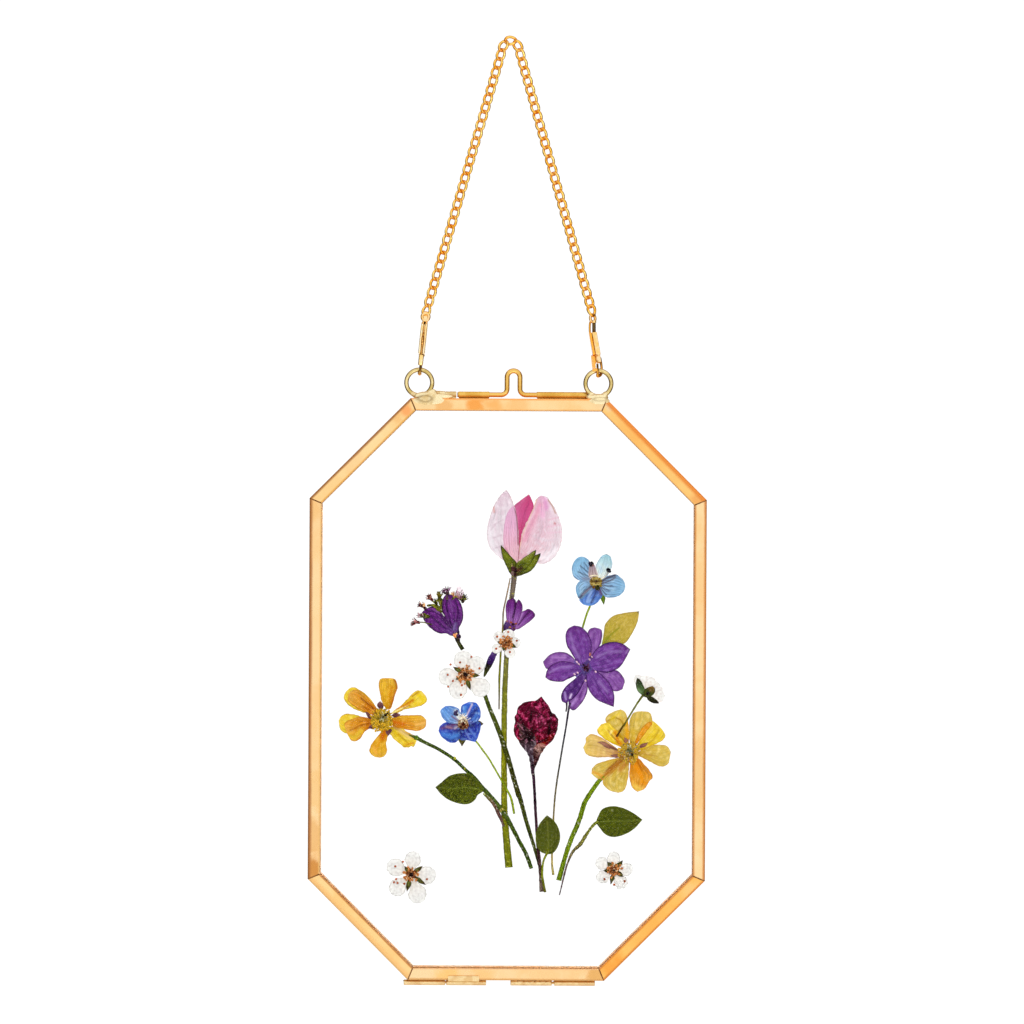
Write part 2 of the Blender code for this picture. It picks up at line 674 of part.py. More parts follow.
purple_flower = Head(
    (27.0, 7.3),
    2,
    [
        Stem([(-4.4, -10), (-6.0, -16), (-8.5, -31.3), (-9.7, -38), (-11, -51.7)], [1.0, 0.7, 0.6, 0.6, 0.7]),
        Stem([(-10.9, -50.6), (-11.9, -63.2), (-11.3, -70.7)], [0.7, 0.7, 0.8]),
        Petal(72, 13.9, 5.2, 0.7, 0, 0.42),
        Petal(167, 15.0, 5.8, 0.64, 0, 0.5),
        Petal(-25, 14.6, 6.6, 0.72, 0, 0.4),
        Petal(-107, 15.2, 5.2, 0.66, 0.2, 0.5),
        Petal(193, 14.2, 6.4, 0.62, -0.5, 0.5),
        Petal(238, 14.0, 5.6, 0.6, -0.6, 0.5),
        Petal(111, 14.9, 8.0, 0.64, -0.4, 0.5),
        Petal(-55, 16.2, 7.8, 0.62, 0.4, 0.62),
        Petal(22, 15.8, 9.4, 0.6, 0, 0.62),
        Bud(0, 0, 1.4),
    ],
)
olive_leaf = Head((31.6, 14.9), 3, [Petal(40.5, 17.5, 9.6, 0.5, 0, 0.95)])
white_bud = Head(
    (46.7, -2.3),
    1,
    [
        Stem([(0.4, 0.6), (-0.7, -0.5), (-4.6, -6.3), (-8.4, -13.0)], [1.4, 0.8, 0.7, 0.6]),
        Petal(116, 6.8, 4.0),
        Petal(2, 6.5, 3.8),
        Petal(81, 7.0, 4.2),
        Petal(40, 6.8, 4.2),
        Petal(-27, 5.3, 1.6),
        Petal(40, 3.8, 1.8),
    ],
)
crimson_bud = Head(
    (9.1, -28.0),
    1,
    [
        Stem([(-0.2, 2.4), (0, -2), (1.0, -11.8), (1.9, -23.1), (2.3, -32.8), (2.8, -40.9)], [1.6, 1.1, 1.0, 1.3, 1.3, 2]),
        Stem(
            [(0, 4.4), (0.1, 8.6), (0.6, 12.6), (0.6, 16), (0.6, 20), (1.0, 23.2), (1.6, 25.3)],
            [4, 9.2, 14.8, 15.3, 12.8, 9, 4],
        ),
        Stem([(-0.2, 0.6), (-0.2, 5.2), (-0.3, 8.4), (-1.4, 11.6), (-1.8, 13.4)], [2.4, 4.8, 8.4, 7.6, 4]),
    ],
)
dark_stem = Head(
    (0, 0),
    2,
    [
        Stem([(-4.7, 12.2), (-6.4, 7.8), (-7.9, 4.3), (-7.4, -3.6)], [1.5, 2.0, 1.0, 1.4]),
        Stem([(-7.8, -2.2), (-4.9, -9.8), (-2, -15.4), (-0.3, -19.4), (1.4, -25.1), (3.3, -33)], [1.4, 1.5, 1.6, 1.7, 1.7, 1.6]),
        Stem([(3.1, -32), (4.8, -38.1), (6.4, -43.1), (7.6, -47.7), (9.6, -55.7), (11, -61.6)], [1.5, 1.6, 1.6, 1.5, 1.3, 1]),
    ],
)
dry_stalk = Head(
    (0, 0),
    1,
    [Stem([(1, 37.7), (-0.1, 32.4), (-1.3, 26.6), (-1.6, 20.3), (-2.2, 13), (-2.7, 3.3), (-2.8, -7)], [0.4, 0.5, 0.5, 0.5, 0.6, 0.6, 0.4])],
)
side_twig = Head((0, 0), 1, [Stem([(-8.0, -36.3), (-4.8, -40.2), (-2.5, -43.8), (-1.2, -46.8)], [0.7, 0.8, 0.9, 0.5])])
left_leaf = Head((-8.6, -34.1), 0, [Petal(177.4, 16.0, 10.5, 0.42, 0, 0.9)])
middle_leaf = Head(
    (14.0, -56.2),
    0,
    [
        Stem([(0, 1.4), (-1.2, -2.6), (-2.0, -5.4), (-2.0, -9.2), (-0.7, -13.1)], [1.4, 0.8, 0.9, 1.0, 0.7]),
        Petal(91.5, 13.4, 8.4, 0.46, 0, 0.75),
    ],
)
right_leaf = Head(
    (30.3, -45.2),
    0,
    [
        Stem([(2, 0), (-0.8, -1.2), (-6.4, -7.7), (-8.4, -10.6), (-10.5, -15.5), (-12.5, -25)], [1.2, 1, 1.2, 1.1, 1, 0.7]),
        Petal(2.1, 15.8, 10.6, 0.38, 0, 0.95),
    ],
)


def make_flowers(pivot):
    green = new_material("leaf green", (0.11, 0.17, 0.04), 0.7)
    stem_brown = new_material("stem brown", (0.22, 0.17, 0.10), 0.75)
    pink = new_material("petal pink", (0.85, 0.52, 0.66), 0.65)
    white = new_material("petal white", (0.9, 0.89, 0.85), 0.65)
    yellow = new_material("petal yellow", (0.85, 0.56, 0.08), 0.65)
    violet = new_material("petal violet", (0.24, 0.09, 0.38), 0.6)
    blue = new_material("petal blue", (0.25, 0.38, 0.75), 0.65)
    crimson = new_material("petal crimson", (0.35, 0.01, 0.06), 0.75)
    specimens = (
        ("pink_bloom", pink_bloom, pink),
        ("sky_blue_flower", sky_blue_flower, blue),
        ("violet_spray", violet_spray, violet),
        ("violet_floret", violet_floret, violet),
        ("upper_white_blossom", upper_white_blossom, white),
        ("middle_white_blossom", middle_white_blossom, white),
        ("cornflower_blue_flower", cornflower_blue_flower, blue),
        ("left_yellow_flower", left_yellow_flower, yellow),
        ("right_yellow_flower", right_yellow_flower, yellow),
        ("purple_flower", purple_flower, violet),
        ("olive_leaf", olive_leaf, green),
        ("white_bud", white_bud, white),
        ("crimson_bud", crimson_bud, crimson),
        ("dark_stem", dark_stem, stem_brown),
        ("dry_stalk", dry_stalk, stem_brown),
        ("side_twig", side_twig, stem_brown),
        ("left_leaf", left_leaf, green),
        ("middle_leaf", middle_leaf, green),
        ("right_leaf", right_leaf, green),
        ("left_white_blossom", left_white_blossom, white),
        ("right_white_blossom", right_white_blossom, white),
    )
    for name, head, material in specimens:
        make_head(name, head, material, pivot)


# ---------------------------------------------------------------- assembly

LATCH_BOLT_REACH = LATCH_THUMB_LOOP_AT + 17.55  # its end is in the gap beside the keeper
LATCH_TAIL_REACH = 22.8
HINGE_HEIGHT = FRAME_TOP - FRAME_HEIGHT - FIT_GAP - KNUCKLE_RADIUS

for thing in list(bpy.data.objects):
    bpy.data.objects.remove(thing)
parts = new_collection("pressed_flower_frame")
cutters = new_collection("cutters")
pivot_place = {}
to_metres = Matrix.Scale(MM, 4) @ Matrix.Translation((0, -RING_DEPTH, 0))

brass = new_material("brass", (0.83, 0.55, 0.24), 0.3, 1.0)
pale_brass = new_material("soldered brass", (0.78, 0.66, 0.42), 0.35, 1.0)
gold = new_material("gold plate", (0.95, 0.55, 0.12), 0.22, 1.0)
glass = new_material("clear glass", (0.95, 0.97, 0.96), 0.02)

ring_top_wire = FRAME_TOP + FIT_GAP + 2 * RING_OUTER_RADIUS - 0.1 - RING_WIRE_RADIUS
swing_pivot = new_pivot("frame_swing_pivot", (0, RING_DEPTH, ring_top_wire))
back_pivot = new_pivot("back_hinge_pivot", (0, 0, HINGE_HEIGHT), swing_pivot)
latch_pivot = new_pivot("latch_slide_pivot", (LATCH_THUMB_LOOP_AT, 0, FRAME_TOP + FIT_GAP + TUBE_RADIUS), back_pivot)

make_hanger()
make_half("front", -1, swing_pivot)
make_half("back", 1, back_pivot)
make_rings(swing_pivot)
make_latch(swing_pivot, back_pivot, latch_pivot)
make_hinges(swing_pivot, back_pivot)
make_flowers(swing_pivot)
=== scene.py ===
import math
import random

import bmesh
import bpy
import numpy as np
from mathutils import Matrix, Vector, noise


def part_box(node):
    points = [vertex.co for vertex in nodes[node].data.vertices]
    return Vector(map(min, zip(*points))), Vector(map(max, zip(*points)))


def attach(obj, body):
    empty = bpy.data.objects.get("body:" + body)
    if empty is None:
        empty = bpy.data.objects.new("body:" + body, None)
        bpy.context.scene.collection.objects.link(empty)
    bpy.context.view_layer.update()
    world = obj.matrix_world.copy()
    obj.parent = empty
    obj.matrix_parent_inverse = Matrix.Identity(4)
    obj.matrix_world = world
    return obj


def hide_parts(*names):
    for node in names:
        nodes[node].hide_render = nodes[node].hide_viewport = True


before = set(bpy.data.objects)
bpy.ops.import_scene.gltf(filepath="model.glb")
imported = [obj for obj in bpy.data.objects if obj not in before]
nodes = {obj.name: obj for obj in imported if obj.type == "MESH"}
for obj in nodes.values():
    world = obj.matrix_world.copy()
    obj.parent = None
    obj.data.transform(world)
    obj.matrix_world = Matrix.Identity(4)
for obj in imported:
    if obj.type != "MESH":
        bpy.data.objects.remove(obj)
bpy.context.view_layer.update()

mm = 0.001
chance = random.Random(7)
# The frame in mm: half its size, its cut corners, the face of a bar, its middle below the nail, the plane
# where its two halves meet, and how far the flowers lean anticlockwise.
octagon = {
    "halfWidth": 67.6, "halfHeight": 99.0, "cornerCut": 34.2, "face": 4.1, "middle": -218.8, "joint": 1.9,
    "bouquetTilt": math.radians(0.3),
}
photo = {"pixel": 0.34, "middle": (507.7, 689.6), "nail": (508, 46)}  # mm a pixel spans, and two places in it


def shade(red, green, blue):  # a colour as the screen shows it, as linear light
    return tuple(((c / 255 + 0.055) / 1.055) ** 2.4 for c in (red, green, blue))


class Value:  # a socket that can stand in a sum
    def __init__(self, finish, socket):
        self.finish, self.socket = finish, socket

    def maths(self, operation, *inputs):
        return self.finish.node("ShaderNodeMath", {"operation": operation}, dict(enumerate(inputs)))

    def __add__(self, other):
        return self.maths("ADD", self, other)

    def __radd__(self, other):
        return self.maths("ADD", other, self)

    def __sub__(self, other):
        return self.maths("SUBTRACT", self, other)

    def __rsub__(self, other):
        return self.maths("SUBTRACT", other, self)

    def __mul__(self, other):
        return self.maths("MULTIPLY", self, other)

    def __rmul__(self, other):
        return self.maths("MULTIPLY", other, self)

    def __truediv__(self, other):
        return self.maths("DIVIDE", self, other)

    def __rtruediv__(self, other):
        return self.maths("DIVIDE", other, self)

    def __abs__(self):
        return self.maths("ABSOLUTE", self)

    def lower(self, other):
        return self.maths("MINIMUM", self, other)

    def fade(self, low, high):  # 0 below low, 1 above high, or the other way round
        settings = {"interpolation_type": "SMOOTHSTEP"}
        return self.finish.node("ShaderNodeMapRange", settings, {0: self, 1: low, 2: high})


class Finish:  # a material as it is built up
    def __init__(self, name):
        self.material = bpy.data.materials.new(name)
        self.material.use_nodes = True
        self.tree = self.material.node_tree
        self.shader = self.tree.nodes["Principled BSDF"]

    def node(self, kind, settings=(), sockets=(), out=0):
        made = self.tree.nodes.new(kind)
        for name, value in dict(settings).items():
            setattr(made, name, value)
        for key, value in dict(sockets).items():
            self.plug(made.inputs[key], value)
        return Value(self, made.outputs[out])

    def plug(self, socket, value):
        if isinstance(value, Value):
            self.tree.links.new(value.socket, socket)
        elif socket.type == "RGBA":
            socket.default_value = (*value, 1)
        else:
            socket.default_value = value

    def mix(self, factor, first, second, blend="MIX"):
        settings = {"data_type": "RGBA", "blend_type": blend}
        return self.node("ShaderNodeMix", settings, {0: factor, 6: first, 7: second}, 2)

    def noise(self, vector, scale, detail=3, roughness=0.5, distortion=0):
        sockets = {"Vector": vector, "Scale": scale, "Detail": detail, "Roughness": roughness}
        return self.node("ShaderNodeTexNoise", {}, {**sockets, "Distortion": distortion})

    def place(self):  # where the point is at rest, in metres
        return self.node("ShaderNodeTexCoord", out="Object")

    def parts(self, vector):
        split = self.node("ShaderNodeSeparateXYZ", {}, {0: vector})
        return [Value(self, socket) for socket in split.socket.node.outputs]

    def stretch(self, vector, scale):
        return self.node("ShaderNodeVectorMath", {"operation": "MULTIPLY"}, {0: vector, 1: scale})

    def painted(self, name):  # the colour that the mesh carries at the point
        return self.node("ShaderNodeAttribute", {"attribute_name": name}, out="Color")

    def carried(self, name):  # the vector that the mesh carries at the point
        return self.node("ShaderNodeAttribute", {"attribute_name": name}, out="Vector")

    def bump(self, height, depth, strength=1.0):  # depth in mm
        sockets = {"Strength": strength, "Distance": depth * mm, "Height": height}
        return self.node("ShaderNodeBump", {}, sockets)

    def surface(self, **values):
        for name, value in values.items():
            self.plug(self.shader.inputs[name.replace("_", " ")], value)
        return self.material


# Each bar has the tones of its face, outer bend and inner edge, the width of its two edge strips in mm, and
# clouds of tarnish and thin solder: place and reach in the photograph's pixels, tone and strength. The outer
# bend's tone is painted reflection and shade, and the inner edge's tone is painted shade.
bars = {
    "top": {
        "tones": ((250, 211, 152), (238, 162, 84), (240, 176, 100)), "strips": (0.7, 0.6),
        "clouds": (
            ((474, 404), 12, (244, 156, 62), 0.85), ((492, 404), 13, (246, 168, 80), 0.6),
            ((517, 404), 14, (248, 180, 102), 0.5), ((425, 401), 12, (240, 208, 152), 0.9),
            ((444, 405), 10, (238, 178, 108), 0.8), ((600, 400), 10, (238, 206, 154), 0.7)),
    },
    "top_right": {
        "tones": ((252, 198, 118), (214, 122, 30), (240, 182, 100)), "strips": (1.7, 0.6),
        "clouds": (
            ((609, 403), 7, (238, 210, 160), 0.9), ((634, 428), 24, (250, 174, 84), 0.5),
            ((660, 454), 16, (250, 182, 88), 0.4), ((699, 498), 9, (226, 140, 70), 0.5)),
    },
    "right": {
        "tones": ((250, 212, 156), (196, 122, 50), (206, 134, 62)), "strips": (1.0, 0.8),
        "clouds": (
            ((701, 770), 52, (234, 190, 126), 0.55), ((701, 590), 30, (248, 196, 132), 0.5),
            ((700, 640), 40, (250, 216, 164), 0.4)),
    },
    "bottom_right": {
        "tones": ((250, 188, 98), (206, 122, 28), (214, 128, 44)), "strips": (0.9, 0.8),
        "clouds": (
            ((618, 966), 18, (244, 156, 60), 0.7), ((655, 930), 26, (248, 176, 84), 0.4),
            ((693, 892), 15, (248, 202, 130), 0.7)),
    },
    "bottom": {
        "tones": ((250, 209, 154), (222, 164, 92), (236, 184, 128)), "strips": (0.8, 0.5),
        "clouds": (
            ((424, 972), 17, (244, 214, 164), 0.8), ((598, 975), 12, (228, 172, 98), 0.9),
            ((484, 976), 14, (250, 192, 118), 0.6), ((450, 976), 15, (250, 194, 110), 0.7)),
    },
    "bottom_left": {
        "tones": ((250, 208, 142), (236, 184, 112), (190, 118, 44)), "strips": (2.0, 0.6),
        "clouds": (((401, 972), 9, (238, 208, 160), 0.8), ((365, 935), 24, (248, 200, 128), 0.4)),
    },
    "left": {
        "tones": ((250, 210, 154), (168, 104, 42), (232, 186, 116)), "strips": (1.2, 0.7),
        "clouds": (
            ((313, 510), 13, (240, 188, 118), 0.7), ((312, 872), 18, (206, 136, 60), 0.9),
            ((313, 838), 20, (228, 168, 92), 0.6), ((316, 790), 26, (240, 190, 116), 0.5)),
    },
    "top_left": {
        "tones": ((250, 212, 150), (158, 98, 40), (226, 166, 78)), "strips": (1.0, 0.8),
        "clouds": (
            ((404, 410), 10, (248, 160, 92), 0.8), ((396, 417), 9, (236, 180, 110), 0.5),
            ((350, 462), 16, (250, 200, 140), 0.5)),
    },
}


def barFinish(bar):
    face, outer, inner = (shade(*tone) for tone in bars[bar]["tones"])
    outerWidth, innerWidth = bars[bar]["strips"]
    halfWidth, halfHeight = octagon["halfWidth"] * mm, octagon["halfHeight"] * mm
    finish = Finish("rolled brass, " + bar.replace("_", " "))
    place = finish.place()
    across, depth, up = finish.parts(place)
    aside, above = abs(across), abs(up - octagon["middle"] * mm)
    corner = (halfWidth + halfHeight - octagon["cornerCut"] * mm - aside - above) / math.sqrt(2)
    inset = (halfWidth - aside).lower(halfHeight - above).lower(corner) / mm  # mm in from the outer edge
    cloud = finish.noise(place, 70, 3, 0.55, 0.6)
    blots = finish.noise(place, 300, 3, 0.55, 0.3)
    fine = finish.noise(place, 2400, 2, 0.6)
    tilts = ((0.98, 0.88, 0.74), (1.0, 1.06, 1.14))  # towards a warmer and a paler tone
    warm, pale = (tuple(c * k for c, k in zip(face, tilt)) for tilt in tilts)
    colour = finish.mix(cloud.fade(0.44, 0.66) * 0.6, face, warm)
    colour = finish.mix(cloud.fade(0.5, 0.36) * 0.5 + blots.fade(0.5, 0.66) * 0.3, colour, pale)
    nailX, nailY = photo["nail"]
    for (x, y), reach, tone, strength in bars[bar]["clouds"]:
        spot = ((x - nailX) * photo["pixel"] * mm, -1.75 * mm, (nailY - y) * photo["pixel"] * mm)
        away = finish.node("ShaderNodeVectorMath", {"operation": "DISTANCE"}, {0: place, 1: spot}, "Value")
        away = away / (reach * photo["pixel"] * mm) + (blots - 0.5) * 1.1 + (cloud - 0.5) * 0.8
        colour = finish.mix(away.fade(1.15, 0.35) * strength, colour, shade(*tone))
    waver = (cloud - 0.5) * 0.8 + (blots - 0.5) * 0.3
    # painted reflection and shade on the outer bend, painted shade along the inner edge
    bend = (inset + waver * 0.5).fade(outerWidth * 1.3, outerWidth * 0.5)
    colour = finish.mix(bend * 0.95, colour, outer)
    edge = (inset + waver * 0.4).fade(octagon["face"] - innerWidth, octagon["face"] - 0.1)
    colour = finish.mix(edge * 0.9, colour, inner)
    wall = abs(depth).lower(abs(depth - 2 * octagon["joint"] * mm))
    hollow = wall.fade(1.38 * mm, 1.33 * mm) * inset.fade(0.38, 0.42)  # the inside of the two channels
    colour = finish.mix(hollow, colour, shade(226, 156, 84))
    roughness = 0.27 + (cloud - 0.5) * 0.16 + (blots - 0.5) * 0.12 + (fine - 0.5) * 0.06
    relief = cloud * 0.6 + blots * 0.35 + fine * 0.02
    return finish.surface(
        Base_Color=colour, Metallic=(1 - hollow) * (1 - bend * 0.7), Roughness=roughness,
        Normal=finish.bump(relief, 0.1, 0.3),
    )


metals = {  # tones where it is bright, dull and lined, the scale of its worn patches, and its relief in mm
    "solder": {
        "name": "soft solder over brass", "tones": ((238, 220, 174), (212, 182, 124), (150, 120, 72)),
        "lumps": 260, "roughness": 0.3, "relief": 0.12, "metallic": 0.6,
    },
    "latch": {
        "name": "drawn brass wire", "tones": ((240, 196, 108), (224, 174, 84), (150, 100, 30)), "lumps": 150,
    },
    "tube": {
        "name": "brass tube", "tones": ((226, 182, 88), (210, 160, 62), (150, 100, 30)), "lumps": 150,
        "metallic": 0.55,
    },
    "ring": {
        "name": "brass ring wire", "tones": ((242, 220, 160), (208, 182, 108), (116, 96, 44)), "lumps": 200,
    },
    "hinge": {
        "name": "tinned hinge tube", "tones": ((240, 212, 158), (228, 190, 132), (176, 120, 66)),
        "lumps": 320, "roughness": 0.3, "relief": 0.12,
    },
    "seam": {
        "name": "dark seam solder", "tones": ((150, 100, 56), (112, 70, 36), (70, 44, 24)), "lumps": 600,
        "roughness": 0.45,
    },
    "chain": {
        "name": "gold plated chain", "tones": ((255, 220, 124), (252, 186, 58), (222, 116, 4)), "lumps": 500,
        "roughness": 0.2, "relief": 0.03,
    },
    "clasp": {
        "name": "gold plated clasp", "tones": ((255, 240, 200), (253, 216, 140), (64, 38, 10)), "lumps": 260,
        "roughness": 0.2, "relief": 0.03,
    },
}


def metalFinish(name, tones, lumps, roughness=0.24, relief=0.06, metallic=1.0):
    bright, dull, line = (shade(*tone) for tone in tones)
    finish = Finish(name)
    place = finish.place()
    shadow, warmth, _ = finish.parts(finish.painted("tint"))  # red in the mesh's tint paints shade, green warms
    worn = finish.noise(place, lumps, 3, 0.55, 0.4)
    fine = finish.noise(place, 2400, 2, 0.6)
    colour = finish.mix(worn.fade(0.42, 0.62), bright, dull)
    colour = finish.mix(fine.fade(0.62, 0.78) * 0.35, colour, line)
    colour = finish.mix(warmth * 0.95, colour, shade(250, 174, 50))
    colour = finish.mix(shadow * 0.9, colour, line)
    return finish.surface(
        Base_Color=colour, Metallic=metallic, Roughness=roughness + (worn - 0.5) * 0.2 + (fine - 0.5) * 0.08,
        Normal=finish.bump(worn * 0.8 + fine * 0.1, relief, 0.4),
    )


def stripFinish(name, dull, bright):
    finish = Finish(name)
    place = finish.place()
    cloud = finish.noise(place, 180, 3, 0.6, 0.4)
    colour = finish.mix(cloud.fade(0.36, 0.66), shade(*dull), shade(*bright))
    roughness = 0.55 + (cloud - 0.5) * 0.2
    return finish.surface(Base_Color=colour, Roughness=roughness, Normal=finish.bump(cloud, 0.05, 0.3))


def glassFinish():
    finish = Finish("clear glass")
    wave = finish.noise(finish.place(), 12, 1, 0.5)
    return finish.surface(
        Base_Color=(1.0, 1.0, 1.0), Roughness=0.0, IOR=1.08, Transmission_Weight=1.0,
        Normal=finish.bump(wave, 0.02, 0.1),
    )


barSkins = {bar: barFinish(bar) for bar in bars}
metal = {name: metalFinish(**values) for name, values in metals.items()}
glass = glassFinish()
for name, node in nodes.items():
    if "_bar_" in name:
        skin = barSkins[name.split("_bar_")[1]]
    elif name.endswith("_glass"):
        skin = glass
    elif "hinge" in name:
        skin = metal["hinge"]
    elif "tube" in name:
        skin = metal["latch"]
    else:
        continue
    node.data.materials.clear()
    node.data.materials.append(skin)
print("metal and glass finished")


# everything below is drawn in mm, with the nail at the origin
class Shape:  # a mesh being gathered, with the colour and the run of the fibres at each point
    def __init__(self):
        self.places, self.faces, self.tints, self.strands = [], [], [], []

    def grid(self, places, tints=None, strands=None, around=False, closed=False):
        rows, columns = places.shape[:2]
        start = len(self.places)
        self.places.extend(places.reshape(-1, 3))
        plain = np.zeros((rows * columns, 3))
        tints = plain if tints is None else np.broadcast_to(tints, (rows, columns, 3)).reshape(-1, 3)
        self.tints.extend(tints)
        strands = plain if strands is None else np.broadcast_to(strands, (rows, columns, 3)).reshape(-1, 3)
        self.strands.extend(strands)
        for row in range(rows if closed else rows - 1):
            below = start + row * columns
            above = start + (row + 1) % rows * columns
            for column in range(columns if around else columns - 1):
                following = (column + 1) % columns
                self.faces.append((below + column, below + following, above + following, above + column))

    def mesh(self, name, matrix=None, solid=False):
        mesh = bpy.data.meshes.new(name)
        mesh.from_pydata([tuple(place) for place in self.places], [], self.faces)
        tint = mesh.color_attributes.new("tint", "FLOAT_COLOR", "POINT")
        tint.data.foreach_set("color", np.hstack((self.tints, np.ones((len(self.tints), 1)))).ravel())
        strand = mesh.attributes.new("strand", "FLOAT_VECTOR", "POINT")
        strand.data.foreach_set("vector", np.array(self.strands, float).ravel())
        if matrix is not None:
            mesh.transform(matrix)
        mesh.transform(Matrix.Scale(mm, 4))
        if solid:
            cage = bmesh.new()
            cage.from_mesh(mesh)
            bmesh.ops.recalc_face_normals(cage, faces=cage.faces)
            cage.to_mesh(mesh)
            cage.free()
        mesh.shade_smooth()
        return mesh


def unit(vectors):
    return vectors / np.maximum(np.linalg.norm(vectors, axis=-1, keepdims=True), 1e-9)


def smoothPath(points, values=None, step=0.5):  # a curve through the points, with a value carried along
    points = np.array(points, float)
    values = np.zeros(len(points)) if values is None else np.array(values, float)
    padded = np.vstack((2 * points[0] - points[1], points, 2 * points[-1] - points[-2]))
    path, carried = [], []
    for index in range(len(points) - 1):
        before, start, end, after = padded[index:index + 4]
        count = max(2, round(float(np.linalg.norm(end - start)) / step))
        for t in np.arange(count) / count:
            pull = (end - before) * t + (2 * before - 5 * start + 4 * end - after) * t * t
            path.append(start + 0.5 * (pull + (3 * start - before - 3 * end + after) * t ** 3))
            carried.append(values[index] * (1 - t) + values[index + 1] * t)
    return np.array(path + [points[-1]]), np.array(carried + [values[-1]])


def sweep(shape, path, radii, sides=10, closed=False, reference=(0, 1, 0), flat=1.0, tints=None):
    path = np.array(path, float)  # a wire along the path, as thick as the radii say and flat times as deep
    radii = np.broadcast_to(np.array(radii, float), (len(path),))
    ahead = unit(np.roll(path, -1, 0) - np.roll(path, 1, 0) if closed else np.gradient(path, axis=0))
    aside = unit(np.cross(ahead, np.array(reference, float)))
    front = np.cross(aside, ahead)
    if not closed:
        path = np.vstack((path[:1], path, path[-1:]))
        radii = np.concatenate(([1e-3], radii, [1e-3]))
        aside, front = (np.vstack((side[:1], side, side[-1:])) for side in (aside, front))
    turns = np.arange(sides) * 2 * math.pi / sides
    out = aside[:, None] * np.cos(turns)[:, None] + front[:, None] * np.sin(turns)[:, None] * flat
    places = path[:, None] + out * radii[:, None, None]
    length = np.concatenate(([0], np.cumsum(np.linalg.norm(np.diff(path, axis=0), axis=1))))
    strands = np.zeros((len(path), sides, 3))
    strands[..., 0] = np.cos(turns)
    strands[..., 1] = length[:, None]
    strands[..., 2] = chance.random() * 9
    if tints is not None and np.ndim(tints) == 2:
        tints = np.array(tints)
        tints = np.vstack((tints[:1], tints, tints[-1:])) if not closed else tints
        tints = np.repeat(tints[:, None], sides, 1)
    shape.grid(places, tints, strands, around=True, closed=closed)


def ball(shape, centre, radii, tint=None, rows=7, columns=10, turn=0.0, lumps=0.0):
    up = np.linspace(-math.pi / 2, math.pi / 2, rows)[:, None]
    around = np.arange(columns)[None] * 2 * math.pi / columns
    local = np.stack((np.cos(up) * np.cos(around), np.cos(up) * np.sin(around), np.sin(up) + 0 * around), -1)
    if lumps:
        seed = Vector((chance.random() * 50, 0, 0))
        push = [noise.noise(Vector(place) * 1.7 + seed) for place in local.reshape(-1, 3)]
        local = local * (1 + lumps * np.array(push).reshape(rows, columns, 1))
    local = local * np.array(radii)
    x = local[..., 0] * math.cos(turn) - local[..., 2] * math.sin(turn)
    z = local[..., 0] * math.sin(turn) + local[..., 2] * math.cos(turn)
    strands = np.stack((local[..., 0], local[..., 2], 0 * x + chance.random() * 9), -1)
    shape.grid(np.stack((x, local[..., 1], z), -1) + np.array(centre), tint, strands, around=True)


def lathe(shape, profile, centre, sides=28):  # a profile of (x, radius) turned round an axis along X
    turns = np.arange(sides) * 2 * math.pi / sides
    rows = [[(x, r * math.cos(t), r * math.sin(t)) for t in turns] for x, r in profile]
    shape.grid(np.array(rows) + np.array(centre), around=True, closed=True)


def addPiece(name, mesh, finish, body, slot, *replaced):
    mesh.materials.append(finish)
    piece = bpy.data.objects.new(name, mesh)
    bpy.context.scene.collection.objects.link(piece)
    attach(piece, body)
    if replaced:
        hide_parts(*replaced)
    return piece


rings = {
    "spread": 30.5, "height": -114.5, "outer": 5.16, "wire": 0.76, "turns": 64,
    "wireShade": (0.15, 0.5, 0.95, 0.8),  # painted shade on the rims: its start on the shaded and the lit side, its end and its strength
    "pools": {  # drops of solder that run together: middle, reach, turn in degrees
        "left": (
            ((-28.3, -0.3, -118.8), (4.3, 1.4, 1.3), 5), ((-26.7, -0.1, -117.9), (2.0, 1.05, 1.1), 22),
            ((-24.6, -0.7, -119.2), (5.8, 0.95, 1.0), 0), ((-27.2, -1.66, -120.7), (5.6, 0.26, 1.5), 0),
            ((-28.3, -1.8, -120.0), (2.1, 0.32, 1.0), 0),
        ),
        "right": (
            ((30.5, -0.3, -119.2), (3.5, 1.4, 1.2), 0), ((28.2, -0.4, -119.2), (1.9, 1.1, 1.0), 0),
            ((32.8, -0.1, -118.3), (1.4, 0.9, 1.0), 42), ((28.2, -0.1, -118.3), (1.3, 0.8, 0.9), -40),
            ((30.8, -1.66, -120.5), (3.6, 0.24, 1.3), 0),
        ),
    },
    "sleeve": {"left": ((-27.5, -21.7), 1.0, -118.4, 1.26)},  # ends, depth, height and radius
    "grain": 0.15, "rounds": 9,
    "poolShades": {  # painted shade in an oval on the pool's front: middle, reach, width, strength
        "left": ((-28.5, -119.95), (2.3, 1.0), 0.28, 0.75), "right": ((31.2, -119.9), (2.4, 0.6), 0.3, 0.5),
    },
}


def melted(shape, grain, rounds):  # lumps run together, as solder does
    guide = bpy.data.objects.new("melt", shape.mesh("melt", solid=True))
    bpy.context.scene.collection.objects.link(guide)
    join = guide.modifiers.new("join", "REMESH")
    join.mode, join.voxel_size, join.use_smooth_shade = "VOXEL", grain * mm, True
    even = guide.modifiers.new("even", "SMOOTH")
    even.factor, even.iterations = 0.5, rounds
    bpy.context.view_layer.update()
    mesh = bpy.data.meshes.new_from_object(guide.evaluated_get(bpy.context.evaluated_depsgraph_get()))
    bpy.data.objects.remove(guide)
    mesh.shade_smooth()
    return mesh


